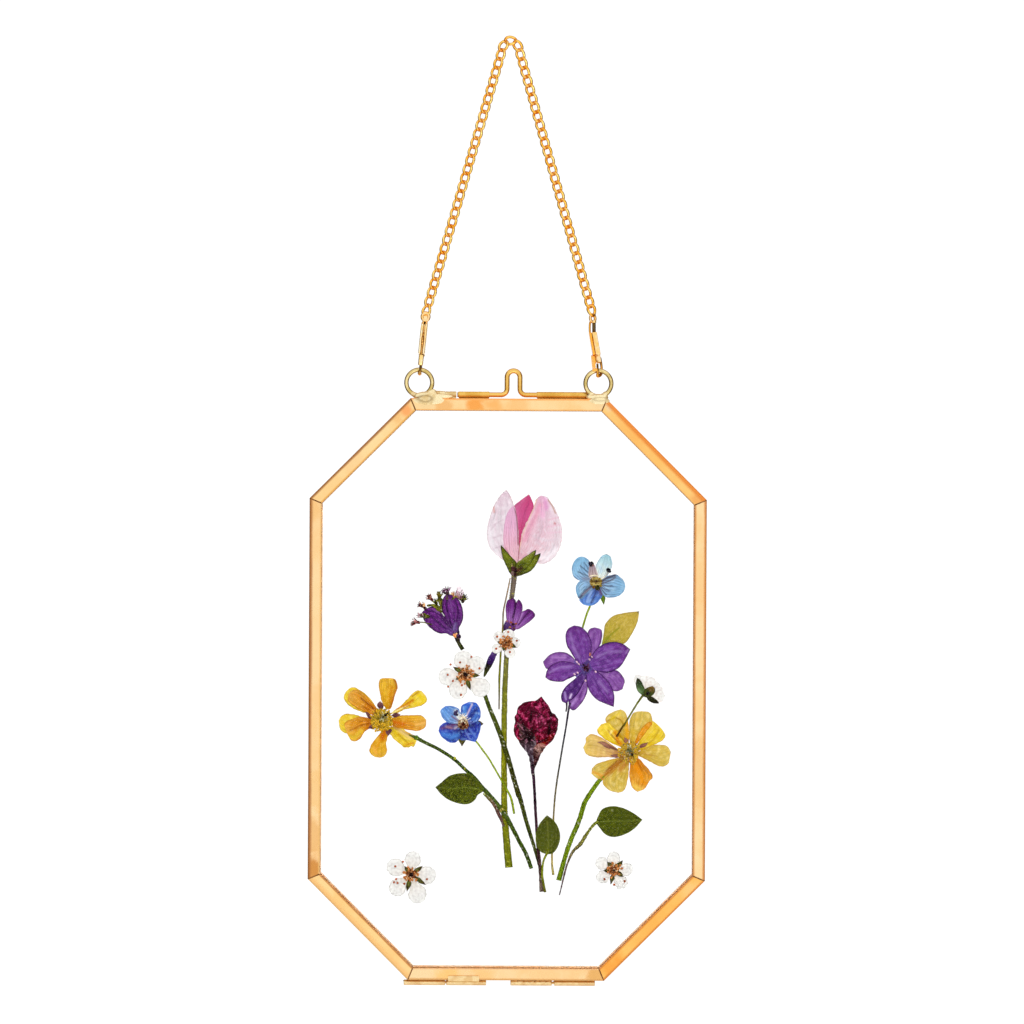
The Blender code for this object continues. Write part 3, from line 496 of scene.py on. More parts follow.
def paintPoolShade(mesh, middle, reach, width, strength):  # an oval ring of painted shade on the solder's front
    places = np.empty(len(mesh.vertices) * 3)
    mesh.vertices.foreach_get("co", places)
    places = places.reshape(-1, 3) / mm
    off = np.hypot((places[:, 0] - middle[0]) / reach[0], (places[:, 2] - middle[1]) / reach[1])
    rim = np.exp(-((off - 1) / width) ** 2) * (places[:, 1] < 0)
    tints = np.stack((rim * strength, 0 * rim, 0 * rim, 1 + 0 * rim), -1)
    old = mesh.color_attributes.get("tint")
    if old:
        mesh.color_attributes.remove(old)
    mesh.color_attributes.new("tint", "FLOAT_COLOR", "POINT").data.foreach_set("color", tints.ravel())


def makeRing(side, name):
    shape = Shape()
    turns = np.linspace(0, 2 * math.pi, rings["turns"], endpoint=False)
    wire, height, centre = rings["wire"], rings["height"], side * rings["spread"]
    around = rings["outer"] - wire
    path = np.stack((centre + around * np.sin(turns), 0 * turns, height + around * np.cos(turns)), -1)
    sweep(shape, path, wire, 18, closed=True)
    shadedStart, litStart, end, strength = rings["wireShade"]
    for index, (x, _, z) in enumerate(shape.places):
        rim = (math.hypot(x - centre, z - height) - around) / wire
        # painted shade: the left of the outside and the right of the inside are painted darker
        start = shadedStart if rim * (centre - x) > 0.4 * abs(rim) else litStart
        shadow = min(1, max(0, abs(rim) - start) / (end - start)) * strength
        shape.tints[index] = np.array((shadow, 0, 0))
    mesh = shape.mesh("ring", solid=True)
    ringName, replaced = "hangingRing" + name.title(), "ring_" + name
    addPiece(ringName, mesh, metal["ring"], "front_half", "soldered_brass", replaced)
    pool = Shape()
    for middle, reach, turn in rings["pools"][name]:
        ball(pool, middle, reach, rows=18, columns=36, turn=math.radians(turn), lumps=0.07)
    low = [(x, y, z) for x, y, z in path if z < height - 3.2]
    sweep(pool, sorted(low), wire + 0.08, 14)
    if name in rings["sleeve"]:
        (start, end), depth, level, radius = rings["sleeve"][name]
        line = [(x, depth, level) for x in np.linspace(start, end, 24)]
        sweep(pool, line, radius - 0.14 * np.linspace(0, 1, 24) ** 2, 20, reference=(0, 0, 1))
    mesh = melted(pool, rings["grain"], rings["rounds"])
    paintPoolShade(mesh, *rings["poolShades"][name])
    addPiece("ringSolder" + name.title(), mesh, metal["solder"], "front_half", "soldered_brass")


def camelCase(node):
    words = node.split("_")
    return words[0] + "".join(word.title() for word in words[1:])


def tubePiece(name, start, end, radius, bore, height, body, finish, lumps=()):
    shape = Shape()
    rim = 0.12
    outside = np.linspace(start + rim, end - rim, max(8, int((end - start) / 0.5)))
    wobble = [radius + 0.03 * noise.noise(Vector((x * 0.9, height, 3.3))) for x in outside]
    profile = [(start, bore + rim * 0.6), (start, radius - rim)] + list(zip(outside, wobble))
    profile += [(end, radius - rim), (end, bore + rim * 0.6), (end - rim, bore), (start + rim, bore)]
    lathe(shape, profile, (0, octagon["joint"], height))
    for centre, radii in lumps:
        ball(shape, centre, radii, rows=12, columns=22, lumps=0.2)
    camel = camelCase(name)
    addPiece(camel, shape.mesh(camel, solid=True), finish, body, "brass", name)


latch = {
    "axis": -118.43, "wire": 0.84, "boltEnd": -17.55, "tailEnd": 24.4,
    "loopAt": 1.6, "loopRadius": 2.2, "loopHeight": 8.2, "bend": 2.0, "proud": 0.03,
    "tubes": (
        ("latch_keeper_tube", -25.4, -17.9, "front_half"), ("latch_tube_left", -17.2, -6.6, "back_half"),
        ("latch_tube_right", 9.5, 27.0, "back_half"),
    ),
    "tubeRadius": 1.06, "tubeBore": 0.9,
    "seams": {"front_half": (1.15, 0.42), "back_half": (2.6, 0.4)},  # depth and radius under a tube
    "seamDrop": 1.16,
}


def makeLatch():
    axis = latch["axis"]
    for name, start, end, body in latch["tubes"]:
        finish = metal["solder"] if "keeper" in name else metal["tube"]
        tubePiece(name, start, end, latch["tubeRadius"], latch["tubeBore"], axis, body, finish)
        seam = Shape()
        depth, radius = latch["seams"][body]
        steps = np.linspace(start + 0.2, end - 0.2, 24)
        line = [(x, depth, axis - latch["seamDrop"] + 0.05 * math.sin(x * 2.1)) for x in steps]
        sweep(seam, line, radius, 10, reference=(0, 0, 1))
        seamName = "seamUnder" + name.title().replace("_", "")
        addPiece(seamName, seam.mesh("seam", solid=True), finish, body, "soldered_brass")
    bend, loop, middle = latch["bend"], latch["loopRadius"], latch["loopAt"]
    quarter = np.linspace(0, math.pi / 2, 10)
    half = [(middle - loop - bend + bend * math.sin(t), axis + bend - bend * math.cos(t)) for t in quarter]
    straight = axis + latch["loopHeight"] - loop
    half += [(middle - loop, z) for z in np.linspace(half[-1][1] + 0.5, straight - 0.5, 6)]
    half += [(middle - loop * math.cos(t), straight + loop * math.sin(t)) for t in quarter]
    path = half + [(2 * middle - x, z) for x, z in half[-2::-1]]
    bolt = [(x, axis) for x in np.linspace(latch["boltEnd"], path[0][0] - 0.5, 20)]
    tail = [(x, axis) for x in np.linspace(path[-1][0] + 0.5, latch["tailEnd"], 30)]
    line = np.array([(x, octagon["joint"], z) for x, z in bolt + path + tail])
    rise = np.clip((line[:, 2] - axis) / latch["loopHeight"], 0, 1)
    wire = Shape()
    sweep(wire, line, latch["wire"] + latch["proud"] * rise, 16)
    addPiece("latchWire", wire.mesh("latchWire", solid=True), metal["latch"], "latch", "brass", "latch_wire")


hinges = {
    "axis": -319.03, "radius": 0.93, "bore": 0.5,
    "knuckles": (  # ends, body, and the lumps of solder on it: how far apart, size, how far forward and up
        ("hinge_left_outer_knuckle", -34.8, -20.7, "back_half", "even"),
        ("hinge_left_inner_knuckle", -20.3, -6.7, "front_half", "even"),
        ("hinge_right_inner_knuckle", 1.6, 15.7, "front_half", "lumpy"),
        ("hinge_right_outer_knuckle", 16.5, 30.4, "back_half", "even"),
    ),
    "lumps": {"even": (3.1, (1.9, 0.72, 0.4), 0.0, 0.48), "lumpy": (1.9, (1.3, 0.75, 0.62), 0.3, 0.35)},
    "tongue": (-19.6, -9.0),  # the leaf that is bent up over the front face
    "tongueSection": (
        (1.5, -318.1), (0.2, -318.1), (-1.0, -318.1), (-2.0, -318.1), (-2.34, -317.9), (-2.36, -317.2),
        (-2.36, -316.3), (-2.2, -316.15), (-2.04, -316.3), (-2.04, -317.1), (-2.02, -317.82), (-1.0, -317.84),
        (0.2, -317.84), (1.5, -317.84),
    ),
}


def makeHinges():
    axis = hinges["axis"]
    for name, start, end, body, kind in hinges["knuckles"]:
        apart, size, forward, rise = hinges["lumps"][kind]
        places = np.arange(start + 1.6, end - 1, apart)
        lumps = [((x, octagon["joint"] - forward, axis + rise), size) for x in places]
        tubePiece(name, start, end, hinges["radius"], hinges["bore"], axis, body, metal["hinge"], lumps)
    left, right = hinges["tongue"]
    leaf = Shape()
    addPlate(leaf, hinges["tongueSection"], right - left, (left + right) / 2, 0.06)
    addPiece("hingeTongue", leaf.mesh("tongue", solid=True), metal["hinge"], "front_half", "brass")


seams = {
    # each kind of corner: across and up at the outer edge, then at the inner edge
    "corners": ((33.4, 99.0, 31.7, 94.9), (67.6, 64.8, 63.5, 63.1)),
    "profile": (  # mm in from the outer edge, and mm in front of the bar's middle
        (4.0, 1.62), (3.0, 1.62), (2.0, 1.62), (1.0, 1.6), (0.62, 1.46), (0.34, 1.2), (0.24, 0.85), (0.22, 0),
        (0.22, -1.6),
    ),
    "width": 0.24, "barMiddle": 1.95, "walls": {"front_half": -1, "back_half": 1},
    "strips": (  # painted shade behind the front pane, and a pale strip of painted light standing in for the lit back lip between the panes: reach, rise, depths, body
        ("beddingStrip", 4.08, 0.0, (0.93, 1.32), "front_half"),
        ("edgeStrip", 4.32, 0.2, (2.5, 2.85), "back_half"),
    ),
    "stripStart": 1.0,
    "tones": {
        "beddingStrip": ("bedding putty", (206, 132, 62), (224, 156, 84)),
        "edgeStrip": ("pale edge strip", (250, 206, 158), (252, 226, 190)),
    },
}


def makeSeams():  # the dark lines of solder where the bars meet
    for body, side in seams["walls"].items():
        shape = Shape()
        for xOuter, zOuter, xInner, zInner in seams["corners"]:
            for across in (-1, 1):
                for up in (-1, 1):
                    path = []
                    for inset, proud in seams["profile"]:
                        share = inset / octagon["face"]
                        x, z = xOuter + (xInner - xOuter) * share, zOuter + (zInner - zOuter) * share
                        depth = octagon["joint"] + side * (proud + seams["barMiddle"])
                        path.append((across * x, depth, octagon["middle"] + up * z))
                    sweep(shape, path, seams["width"], 8, reference=(0.3, 0.9, 0.31))
        name = "mitreSeams" + body.split("_")[0].title()
        addPiece(name, shape.mesh("seams", solid=True), metal["seam"], body, "soldered_brass")


def makeStrips():
    upper, middle = seams["corners"]
    walk = (
        (1, 1, upper), (1, 1, middle), (1, -1, middle), (1, -1, upper),
        (-1, -1, upper), (-1, -1, middle), (-1, 1, middle), (-1, 1, upper),
    )
    for name, reach, rise, (front, back), body in seams["strips"]:
        start = seams["stripStart"]
        rows = []
        for inset, depth in ((start, front), (reach, front), (reach, back), (start, back)):
            share = inset / octagon["face"]
            rows.append([
                (across * (p + (q - p) * share), depth, octagon["middle"] + rise + up * (r + (s - r) * share))
                for across, up, (p, r, q, s) in walk
            ])
        strip = Shape()
        strip.grid(np.array(rows), around=True, closed=True)
        mesh = strip.mesh("strip", solid=True)
        mesh.shade_flat()
        addPiece(name, mesh, stripFinish(*seams["tones"][name]), body, "soldered_brass")


chain = {
    "links": 63, "length": 4.66, "width": 3.46, "wire": 0.5, "interlock": 0.46,
    # turns of the end links, which enter the clasps' eyes, and of all by chance
    "endTurn": 0.45, "sway": 0.16,
    "leg": ((-28.1, -89.7), (-2.5, 0.3), (-1.2, 1.75), (0, 2.15), (1.2, 1.75), (2.5, 0.3), (28.1, -89.7)),
}


def makeChain():
    corners = np.array([(x, 0, z) for x, z in chain["leg"]], float)
    legs = [np.linspace(a, b, 400, endpoint=False) for a, b in zip(corners, corners[1:])]
    path = np.vstack(legs + [corners[-1:]])
    walked = np.concatenate(([0], np.cumsum(np.linalg.norm(np.diff(path, axis=0), axis=1))))
    along = np.linspace(0, walked[-1], chain["links"])
    centres = np.stack([np.interp(along, walked, path[:, axis]) for axis in range(3)], -1)
    ahead = unit(np.gradient(centres, axis=0))
    t = np.linspace(0, 2 * math.pi, 36, endpoint=False)
    bow, reach = chain["width"] / 2 - chain["wire"], chain["length"] / 2 - chain["wire"]
    shape = Shape()
    for index, (centre, way) in enumerate(zip(centres, ahead)):
        aside = np.cross(way, (0, 1, 0))
        lean = 0.0 if 0 < index < chain["links"] - 1 else chain["endTurn"]
        lean += chain["sway"] * noise.noise(Vector((index * 1.7, 2.2, 0)))
        across = aside * math.cos(lean) + np.array((0, 1, 0)) * math.sin(lean)
        deep = np.cross(across, way)
        loop = centre + (bow * np.cos(t))[:, None] * across + (reach * np.sin(t))[:, None] * way
        loop = loop + (chain["interlock"] * np.sin(2 * t))[:, None] * deep
        linkShade = np.clip(np.abs(np.sin(t)) * 1.6 - 0.75, 0, 1)  # painted shade: each link's ends darken where the links interlock
        sweep(shape, loop, chain["wire"], 10, closed=True, tints=np.stack((linkShade * 0.8, 0 * t, 0 * t), -1))
    mesh = shape.mesh("curbChain", solid=True)
    addPiece("curbChain", mesh, metal["chain"], "hanger", "gold_plate", "chain_left", "chain_right")


# Outlines are (depth, height) in mm from the ring's top wire. A tint's first number paints shade on the gold
# and its second warms it. A plate has its outline, thickness, place across, rounding and tint.
leverFlap = (
    (-2.2, 5.2), (-2.5, 4.9), (-2.95, 2.4), (-2.9, 1.0), (-2.75, 0.8), (-2.6, 1.0), (-2.5, 2.4), (-2.1, 4.8),
    (-1.9, 5.2),
)
clasp = {
    "spread": 30.5, "ringTop": -110.06, "lean": 5.6, "slantFrom": 3.0,
    "lever": (
        (-2.3, 12.4), (-1.3, 11.9), (-1.2, 10.7), (-1.7, 9.8), (-2.2, 7.0), (-2.3, 3.6), (-3.1, 3.6),
        (-3.5, 6.4), (-4.0, 8.6), (-4.5, 9.9), (-4.4, 10.9), (-3.4, 11.3),
    ),
    "spine": (
        (3.3, 5.6), (2.3, 7.2), (1.5, 9.5), (1.2, 12.5), (1.0, 15.6), (1.8, 15.4), (2.7, 13.5), (3.3, 10.5),
        (3.7, 7),
    ),
    "left": {
        "lean": 0.0, "shift": 0.25, "rounding": 0.34, "spineDrop": 0.0,
        "cheeks": ((-0.71, 0.88, 0.0), (0.63, 0.84, 0.1)),  # middle, thickness and how far it warms to orange
        "outline": (
            (-0.5, 16.3), (-2.0, 15.4), (-3.2, 13.2), (-3.4, 10.4), (-3.35, 7.5), (-3.2, 5.6), (-2.9, 5.3),
            (2.0, 5.25), (2.7, 4.95), (3.7, 4.9), (3.95, 5.2), (4.1, 8), (3.7, 12), (2.7, 15.0), (1.0, 16.3),
        ),
        # the left lever's tint paints shade on it where it sits in the gap
        "gap": (-0.05, 0.5), "leverThickness": 0.3, "leverTint": (0.3, 0.8, 0),
        "hook": (
            (0, 3.2, 6.0), (0, 3.15, 3.8), (0, 2.75, 1.4), (0, 1.8, -0.5), (0, 0.3, -1.35),
            (-0.05, -1.2, -1.1), (0.1, -2.2, 0.0), (0.2, -2.7, 0.8), (0.2, -2.8, 1.25),
        ),
        "thick": (0.7, 0.6, 0.5, 0.6, 0.72, 0.6, 0.34, 0.3, 0.32), "hookWarmth": 0.6,
        # how much painted shadow lies on each point of the hook
        "dark": (0.3, 0.5, 0.8, 0.6, 0.0, 0.2, 0.95, 1, 1),
        "balls": (  # the rivet's head and the hook's root, both painted dark with shade, and the neck: middle, radii, tint, rows and columns
            ((0, 1.0, 16.5), (0.78, 1.2, 0.8), (0.9, 0, 0), 12, 20),
            ((0, 3.0, 5.0), (0.95, 0.8, 0.6), (0.9, 0, 0), 12, 20),
            ((0, 0, 17.5), (1.2, 0.45, 1.2), (0, 0.3, 0), 14, 24),
        ),
        "eye": ((0, 0, 18.1), (1.12, 0, 1.3), 0.6),  # middle, reach and wire
        "leverRods": (  # the thumb tab: points, radii, sides, flatness and tint
            ([(0.05, -2.8, z) for z in (1.4, 1.5, 3.2, 4.75, 4.85)], (0.7, 0.84, 0.86, 0.86, 0.78), 18, 0.6,
             (0, 0, 0)),
        ),
    },
    "right": {
        "lean": -0.084, "shift": 0.0, "rounding": 0.14, "spineDrop": 2.6,
        "cheeks": ((-0.86, 0.84, 1.0), (0.54, 1.64, 0.36)),
        "relieved": ((-2.0, 5.26), (-1.3, 5.7), (-0.8, 5.95), (1.2, 5.95), (1.7, 5.3)),  # room for the lever
        "outline": (
            (-0.4, 13.0), (-2.9, 13.0), (-3.3, 12.6), (-3.4, 10.4), (-3.35, 7.5), (-3.2, 5.6), (-2.9, 5.3),
            (1.8, 5.2), (2.2, 4.9), (2.4, 3.4), (2.7, 2.8), (3.6, 2.7), (3.9, 3.0), (4.1, 7), (3.7, 11),
            (2.7, 13.0), (1.0, 13.0),
        ),
        "gap": (-0.36, 0.14), "leverThickness": 0.05, "leverTint": (0, 0.8, 0),
        "hook": (
            (1.0, 3.1, 4.4), (1.2, 2.9, 2.4), (1.2, 2.2, 0.6), (0.95, 1.4, -0.9), (0.35, 0.2, -1.6),
            (-0.45, -1.3, -1.8), (-0.35, -2.3, -0.5), (-0.3, -2.7, 1.0), (-0.25, -2.8, 2.2),
        ),
        "thick": (0.5, 0.44, 0.42, 0.5, 0.62, 0.6, 0.42, 0.36, 0.36), "hookWarmth": 0.95,
        # how much painted shadow lies on each point of the hook
        "dark": (1.0, 0.7, 0.15, 0.0, 0.0, 0.0, 0.35, 1, 1),
        "rods": (  # the barrel, painted dark with shade, the orange wire beside it and the neck
            ([(-0.35, 0, 12.6), (0.0, 0, 16.7)], 0.62, 16, 1.0, (1, 0, 0)),
            ([(-1.72, 0, 12.4), (-1.66, 0, 14.4), (-1.4, 0, 16.2), (-0.95, 0, 17.2)], 0.36, 12, 1.0,
             (0.15, 1.0, 0)),
            ([(0.0, 0, 16.3), (0.02, 0, 17.1)], 0.8, 16, 1.0, (0, 0, 0)),
        ),
        "nose": (  # beside the hook's tip
            (((-2.9, 0.66), (-2.6, 0.66), (-2.56, 0.0), (-2.72, -0.3), (-2.9, -0.1)), 1.6, -1.3, 0.05,
             (0, 0.95, 0)),
        ),
        "eye": ((-0.3, 0, 17.9), (0.85, 0.8, 1.25), 0.5),
        "flaps": ((leverFlap, 0.8, -1.3, 0.05, (0, 0.95, 0)), (leverFlap, 0.46, -1.95, 0.05, (0.05, 0.8, 0))),
        "leverRods": (
            ([(-0.5, -2.3, 4.6), (-1.2, -2.3, 4.5), (-2.1, -2.3, 4.4)], 0.3, 10, 1.0, (0.05, 0.8, 0)),
        ),
    },
}


def plate(outline, thickness, middle, rounding=0.12):  # a rounded plate in the YZ plane
    curve = bpy.data.curves.new("plate", "CURVE")
    curve.dimensions, curve.fill_mode = "2D", "BOTH"
    curve.extrude, curve.bevel_depth, curve.bevel_resolution = thickness / 2 - rounding, rounding, 3
    curve.offset = -rounding
    loop = list(outline) + list(outline[:3])
    path, _ = smoothPath(loop, step=0.35)
    steps = [max(2, round(math.dist(a, b) / 0.35)) for a, b in zip(loop, loop[1:])]
    path = path[steps[0]:sum(steps[:-1])]  # the loop without its doubled start
    spline = curve.splines.new("POLY")
    spline.points.add(len(path) - 1)
    spline.use_cyclic_u = True
    for point, (y, z) in zip(spline.points, path):
        point.co = (y, z, 0, 1)
    guide = bpy.data.objects.new("plate", curve)
    bpy.context.scene.collection.objects.link(guide)
    bpy.context.view_layer.update()
    mesh = bpy.data.meshes.new_from_object(guide.evaluated_get(bpy.context.evaluated_depsgraph_get()))
    bpy.data.objects.remove(guide)
    mesh.transform(Matrix(((0, 0, 1, middle), (1, 0, 0, 0), (0, 1, 0, 0), (0, 0, 0, 1))))
    places = np.array([vertex.co for vertex in mesh.vertices])
    return places, [tuple(face.vertices) for face in mesh.polygons]


def addPlate(shape, outline, thickness, middle, rounding=0.12, tint=(0, 0, 0)):
    places, faces = plate(outline, thickness, middle, rounding)
    start = len(shape.places)
    shape.places.extend(places)
    shape.tints.extend(np.broadcast_to(tint, (len(places), 3)))
    shape.strands.extend(np.zeros((len(places), 3)))
    shape.faces.extend(tuple(start + corner for corner in face) for face in faces)


def addRod(shape, points, radii, sides, flat, tint):
    sweep(shape, points, radii, sides, flat=flat, tints=np.tile(tint, (len(points), 1)))


def slant(shape, lean):  # the plates lean over sideways towards their foot
    for place in shape.places:
        place[0] += lean * (place[2] - clasp["slantFrom"])


def claspBody(kind):
    body = Shape()
    for index, (middle, thickness, warmth) in enumerate(kind["cheeks"]):
        outline = kind["outline"]
        if index == 0 and "relieved" in kind:
            outline = (*outline[:7], *kind["relieved"], *outline[8:])
        addPlate(body, outline, thickness, middle, kind["rounding"], (0, warmth, 0))
    across, thickness = kind["gap"]
    spine = [(y, z - kind["spineDrop"]) for y, z in clasp["spine"]]
    # the spine's tint paints a little shade in the gap between the cheeks
    addPlate(body, spine, thickness, across, 0.02, (0.1, 0.6, 0))
    slant(body, kind["lean"])
    count = range(len(kind["hook"]))
    hook, along = smoothPath(kind["hook"], count, 0.25)
    # painted shadow along the hook
    dark = np.interp(along, count, kind["dark"])
    tints = np.stack((dark, kind["hookWarmth"] + 0 * dark, 0 * dark), -1)
    sweep(body, hook, np.interp(along, count, kind["thick"]), 14, reference=(1, 0, 0), tints=tints)
    for ballShape in kind.get("balls", ()):
        ball(body, *ballShape)
    for points, radius, sides, flat, tint in kind.get("rods", ()):
        path = smoothPath(points, step=0.3)[0] if len(points) > 2 else points
        addRod(body, path, radius, sides, flat, tint)
    for nose in kind.get("nose", ()):
        addPlate(body, *nose)
    turns = np.linspace(0, 2 * math.pi, 40, endpoint=False)
    (x, y, z), (xReach, yReach, zReach), wire = kind["eye"]
    eye = (x + xReach * np.sin(turns), y + yReach * np.sin(turns), z + zReach * np.cos(turns))
    sweep(body, np.stack(eye, -1), wire, 14, closed=True, tints=np.tile((0, 0.5, 0), (len(turns), 1)))
    return body


def claspLever(kind):
    lever = Shape()
    thickness = kind["leverThickness"]
    rounding = min(0.03, 0.4 * thickness)
    addPlate(lever, clasp["lever"], thickness, kind["gap"][0], rounding, kind["leverTint"])
    slant(lever, kind["lean"])
    for flap in kind.get("flaps", ()):
        addPlate(lever, *flap)
    for rod in kind["leverRods"]:
        addRod(lever, *rod)
    return lever


def makeClasp(side, name):
    kind = clasp[name]
    stand = Matrix.Translation((side * clasp["spread"] + kind["shift"], 0, clasp["ringTop"]))
    stand = stand @ Matrix.Rotation(-side * math.radians(clasp["lean"]), 4, "Y")
    body, lever = claspBody(kind).mesh("clasp", stand, True), claspLever(kind).mesh("lever", stand, True)
    addPiece("clasp" + name.title(), body, metal["clasp"], "hanger", "gold_plate", "clasp_" + name)
    trigger, replaced = name + "_trigger", "clasp_trigger_" + name
    addPiece("claspLever" + name.title(), lever, metal["clasp"], trigger, "gold_plate", replaced)


makeRing(-1, "left")
makeRing(1, "right")
makeLatch()
makeHinges()
makeSeams()
makeStrips()
print("rings, latch, hinges and seams made")
makeChain()
makeClasp(-1, "left")
makeClasp(1, "right")
print("chain and clasps made")


def skinFinish(name, streaks=7.0, strength=0.3, rough=0.62, deep=(0.32, 0.3, 0.36), glints=0.5):
    finish = Finish(name)
    tint, strand = finish.painted("tint"), finish.carried("strand")
    veins = finish.noise(finish.stretch(strand, (streaks, 0.16, 1)), 1.0, 3, 0.6)
    cells = finish.noise(finish.place(), 2400, 3, 0.65)
    folds = finish.noise(finish.stretch(strand, (2.2, 0.5, 1)), 1.0, 2, 0.5, 0.6)
    dark = veins.fade(0.48, 0.28) * strength + cells.fade(0.5, 0.3) * strength * 0.5
    light = (veins.fade(0.54, 0.7) + cells.fade(0.56, 0.72) * 0.5) * strength * glints
    deeper = finish.mix(1.0, tint, deep, "MULTIPLY")
    lighter = finish.mix(0.35, tint, tint, "SCREEN")
    colour = finish.mix(light, finish.mix(dark, tint, deeper), lighter)
    relief = veins * 0.5 + folds * 0.35 + cells * 0.15
    return finish.surface(
        Base_Color=colour, Roughness=rough + (cells - 0.5) * 0.2, Specular_IOR_Level=0.05,
        Normal=finish.bump(relief, 0.22, 0.5),
    )


def leafFinish():
    finish = Finish("pressed leaf")
    tint, strand = finish.painted("tint"), finish.carried("strand")
    across, along, _ = finish.parts(strand)
    slanted = along * 0.42 - abs(across) * 1.3
    ribs = finish.node("ShaderNodeMath", {"operation": "PINGPONG"}, {0: slanted, 1: 0.5})
    ribs = ribs.fade(0.1, 0.0)
    midrib = abs(across).fade(0.07, 0.015)
    cells = finish.noise(finish.place(), 1900, 4, 0.65)
    deeper = finish.mix(1.0, tint, (0.3, 0.35, 0.3), "MULTIPLY")
    colour = finish.mix(cells.fade(0.52, 0.34) * 0.4, tint, deeper)
    colour = finish.mix(cells.fade(0.58, 0.74) * 0.3, colour, shade(124, 130, 44))
    colour = finish.mix(ribs * 0.2 + midrib * 0.15, colour, deeper)
    relief = midrib * 0.4 + ribs * 0.2 + cells * 0.4
    return finish.surface(
        Base_Color=colour, Roughness=0.6, Specular_IOR_Level=0.05, Normal=finish.bump(relief, 0.2, 0.6),
    )


def crumpledFinish():
    finish = Finish("crumpled petal")
    tint, place = finish.painted("tint"), finish.place()
    wide = finish.noise(place, 300, 3, 0.6, 1.8)
    tight = finish.noise(place, 820, 3, 0.6, 1.2)
    # painted shade in the creases and hollows, and painted glints on the ridges
    creases = (abs(wide - 0.5).fade(0.06, 0.0) + abs(tight - 0.5).fade(0.05, 0.0) * 0.6).lower(1.0)
    hollows = wide.fade(0.53, 0.43) * 0.9 + tight.fade(0.47, 0.36) * 0.6
    glints = tight.fade(0.54, 0.62) * wide.fade(0.48, 0.58)
    deeper = finish.mix(1.0, tint, (0.1, 0.03, 0.06), "MULTIPLY")
    lighter = finish.mix(1.0, tint, shade(176, 92, 126), "SCREEN")
    colour = finish.mix(glints * 0.7, tint, lighter)
    colour = finish.mix((creases * 0.7 + hollows).lower(1.0) * 0.92, colour, deeper)
    return finish.surface(
        Base_Color=colour, Roughness=0.5 + tight * 0.2, Specular_IOR_Level=0.03,
        Normal=finish.bump(wide * 0.6 + tight * 0.4 - creases * 0.4, 0.5, 0.8),
    )


skins = {
    "petal": skinFinish("pressed petal"), "crumpled": crumpledFinish(),
    "whitePetal": skinFinish("pressed white petal", 6.0, 0.1, 0.6, (0.62, 0.62, 0.6), 0.2),
    "stem": skinFinish("dried stem", 2.6, 0.7, 0.7, (0.22, 0.2, 0.18), 0.6), "leaf": leafFinish(),
}


pressing = {  # mm: the step between layers, the room they share, how far buds stand out, how thick things dry
    "layerStep": 0.045, "room": 0.34, "budLift": 0.04, "budThickness": 0.17, "stemThickness": 0.34,
}


def seen(points):  # photograph pixels as mm right of and above the frame's middle
    points = np.array(points, float).reshape(-1, 2)
    x, y = photo["middle"]
    return np.stack(((points[:, 0] - x) * photo["pixel"], (y - points[:, 1]) * photo["pixel"]), -1)


def blendTones(share, tones):  # a colour read off a row of tones, evenly spaced from base to tip
    places = np.linspace(0, 1, len(tones))
    channels = zip(*(shade(*tone) for tone in tones))
    return np.stack([np.interp(share, places, channel) for channel in channels], -1)


def towards(tints, colour, mask):
    return tints + (np.array(shade(*colour)) - tints) * np.clip(mask, 0, 1)[..., None]


def grain(points, size, seed):  # smooth noise, about -1 to 1, at the points
    shift = Vector((seed * 7.3, seed * 3.1, seed))
    flat = points.reshape(-1, points.shape[-1]) / size
    values = np.array([noise.noise(Vector((*place[:2], 0)) + shift) for place in flat])
    return values.reshape(points.shape[:-1]) * 1.6


def evenly(points, count):  # a smooth curve through the points, at even steps
    path, _ = smoothPath(points, step=0.3)
    walked = np.concatenate(([0], np.cumsum(np.linalg.norm(np.diff(path, axis=0), axis=1))))
    at = np.linspace(0, walked[-1], count)
    return np.stack([np.interp(at, walked, path[:, axis]) for axis in range(2)], -1)


def nearness(flat, points, width):  # 1 on the line through the points, fading over its width
    line = seen(points)
    best = np.full(flat.shape[:-1], 1e9)
    if len(line) == 1:
        best = np.linalg.norm(flat - line[0], axis=-1)
    for start, end in zip(line, line[1:]):
        run = end - start
        t = np.clip(((flat - start) @ run) / max(run @ run, 1e-9), 0, 1)
        best = np.minimum(best, np.linalg.norm(flat - start - t[..., None] * run, axis=-1))
    return np.exp(-(best / (width * photo["pixel"])) ** 2)


def sheet(base, left, tip, right, look, **more):  # a petal by its two edges, in pixels of the photograph
    left, right = [base, *left, tip], [base, *right, tip]
    return {"kind": "sheet", "left": left, "right": right, "look": look, "more": more}


def disc(place, radius, look, tall=1.0, **more):
    x, y = place
    turns = [math.radians(angle) for angle in (35, 62, 90, 118, 145)]
    above = [(x - radius * math.cos(turn), y - radius * tall * math.sin(turn)) for turn in turns]
    below = [(x - radius * math.cos(turn), y + radius * tall * math.sin(turn)) for turn in turns]
    return sheet((x - radius, y), above, (x + radius, y), below, look, **more)


def stem(points, widths, tones, **more):  # widths in pixels
    return {"kind": "stem", "points": points, "widths": widths, "tones": tones, **more}


def bud(place, radius, tone, tall=1.0, turn=0.0, proud=0.0):
    shape = {"place": place, "radius": radius, "tall": tall, "turn": turn, "proud": proud}
    return {"kind": "bud", "tone": tone, **shape}


def lookOf(name, looks):  # a petal's look, on top of the look that it is like
    look = looks.get(name) or petalLooks[name]
    return {**lookOf(look["like"], looks), **look} if "like" in look else look


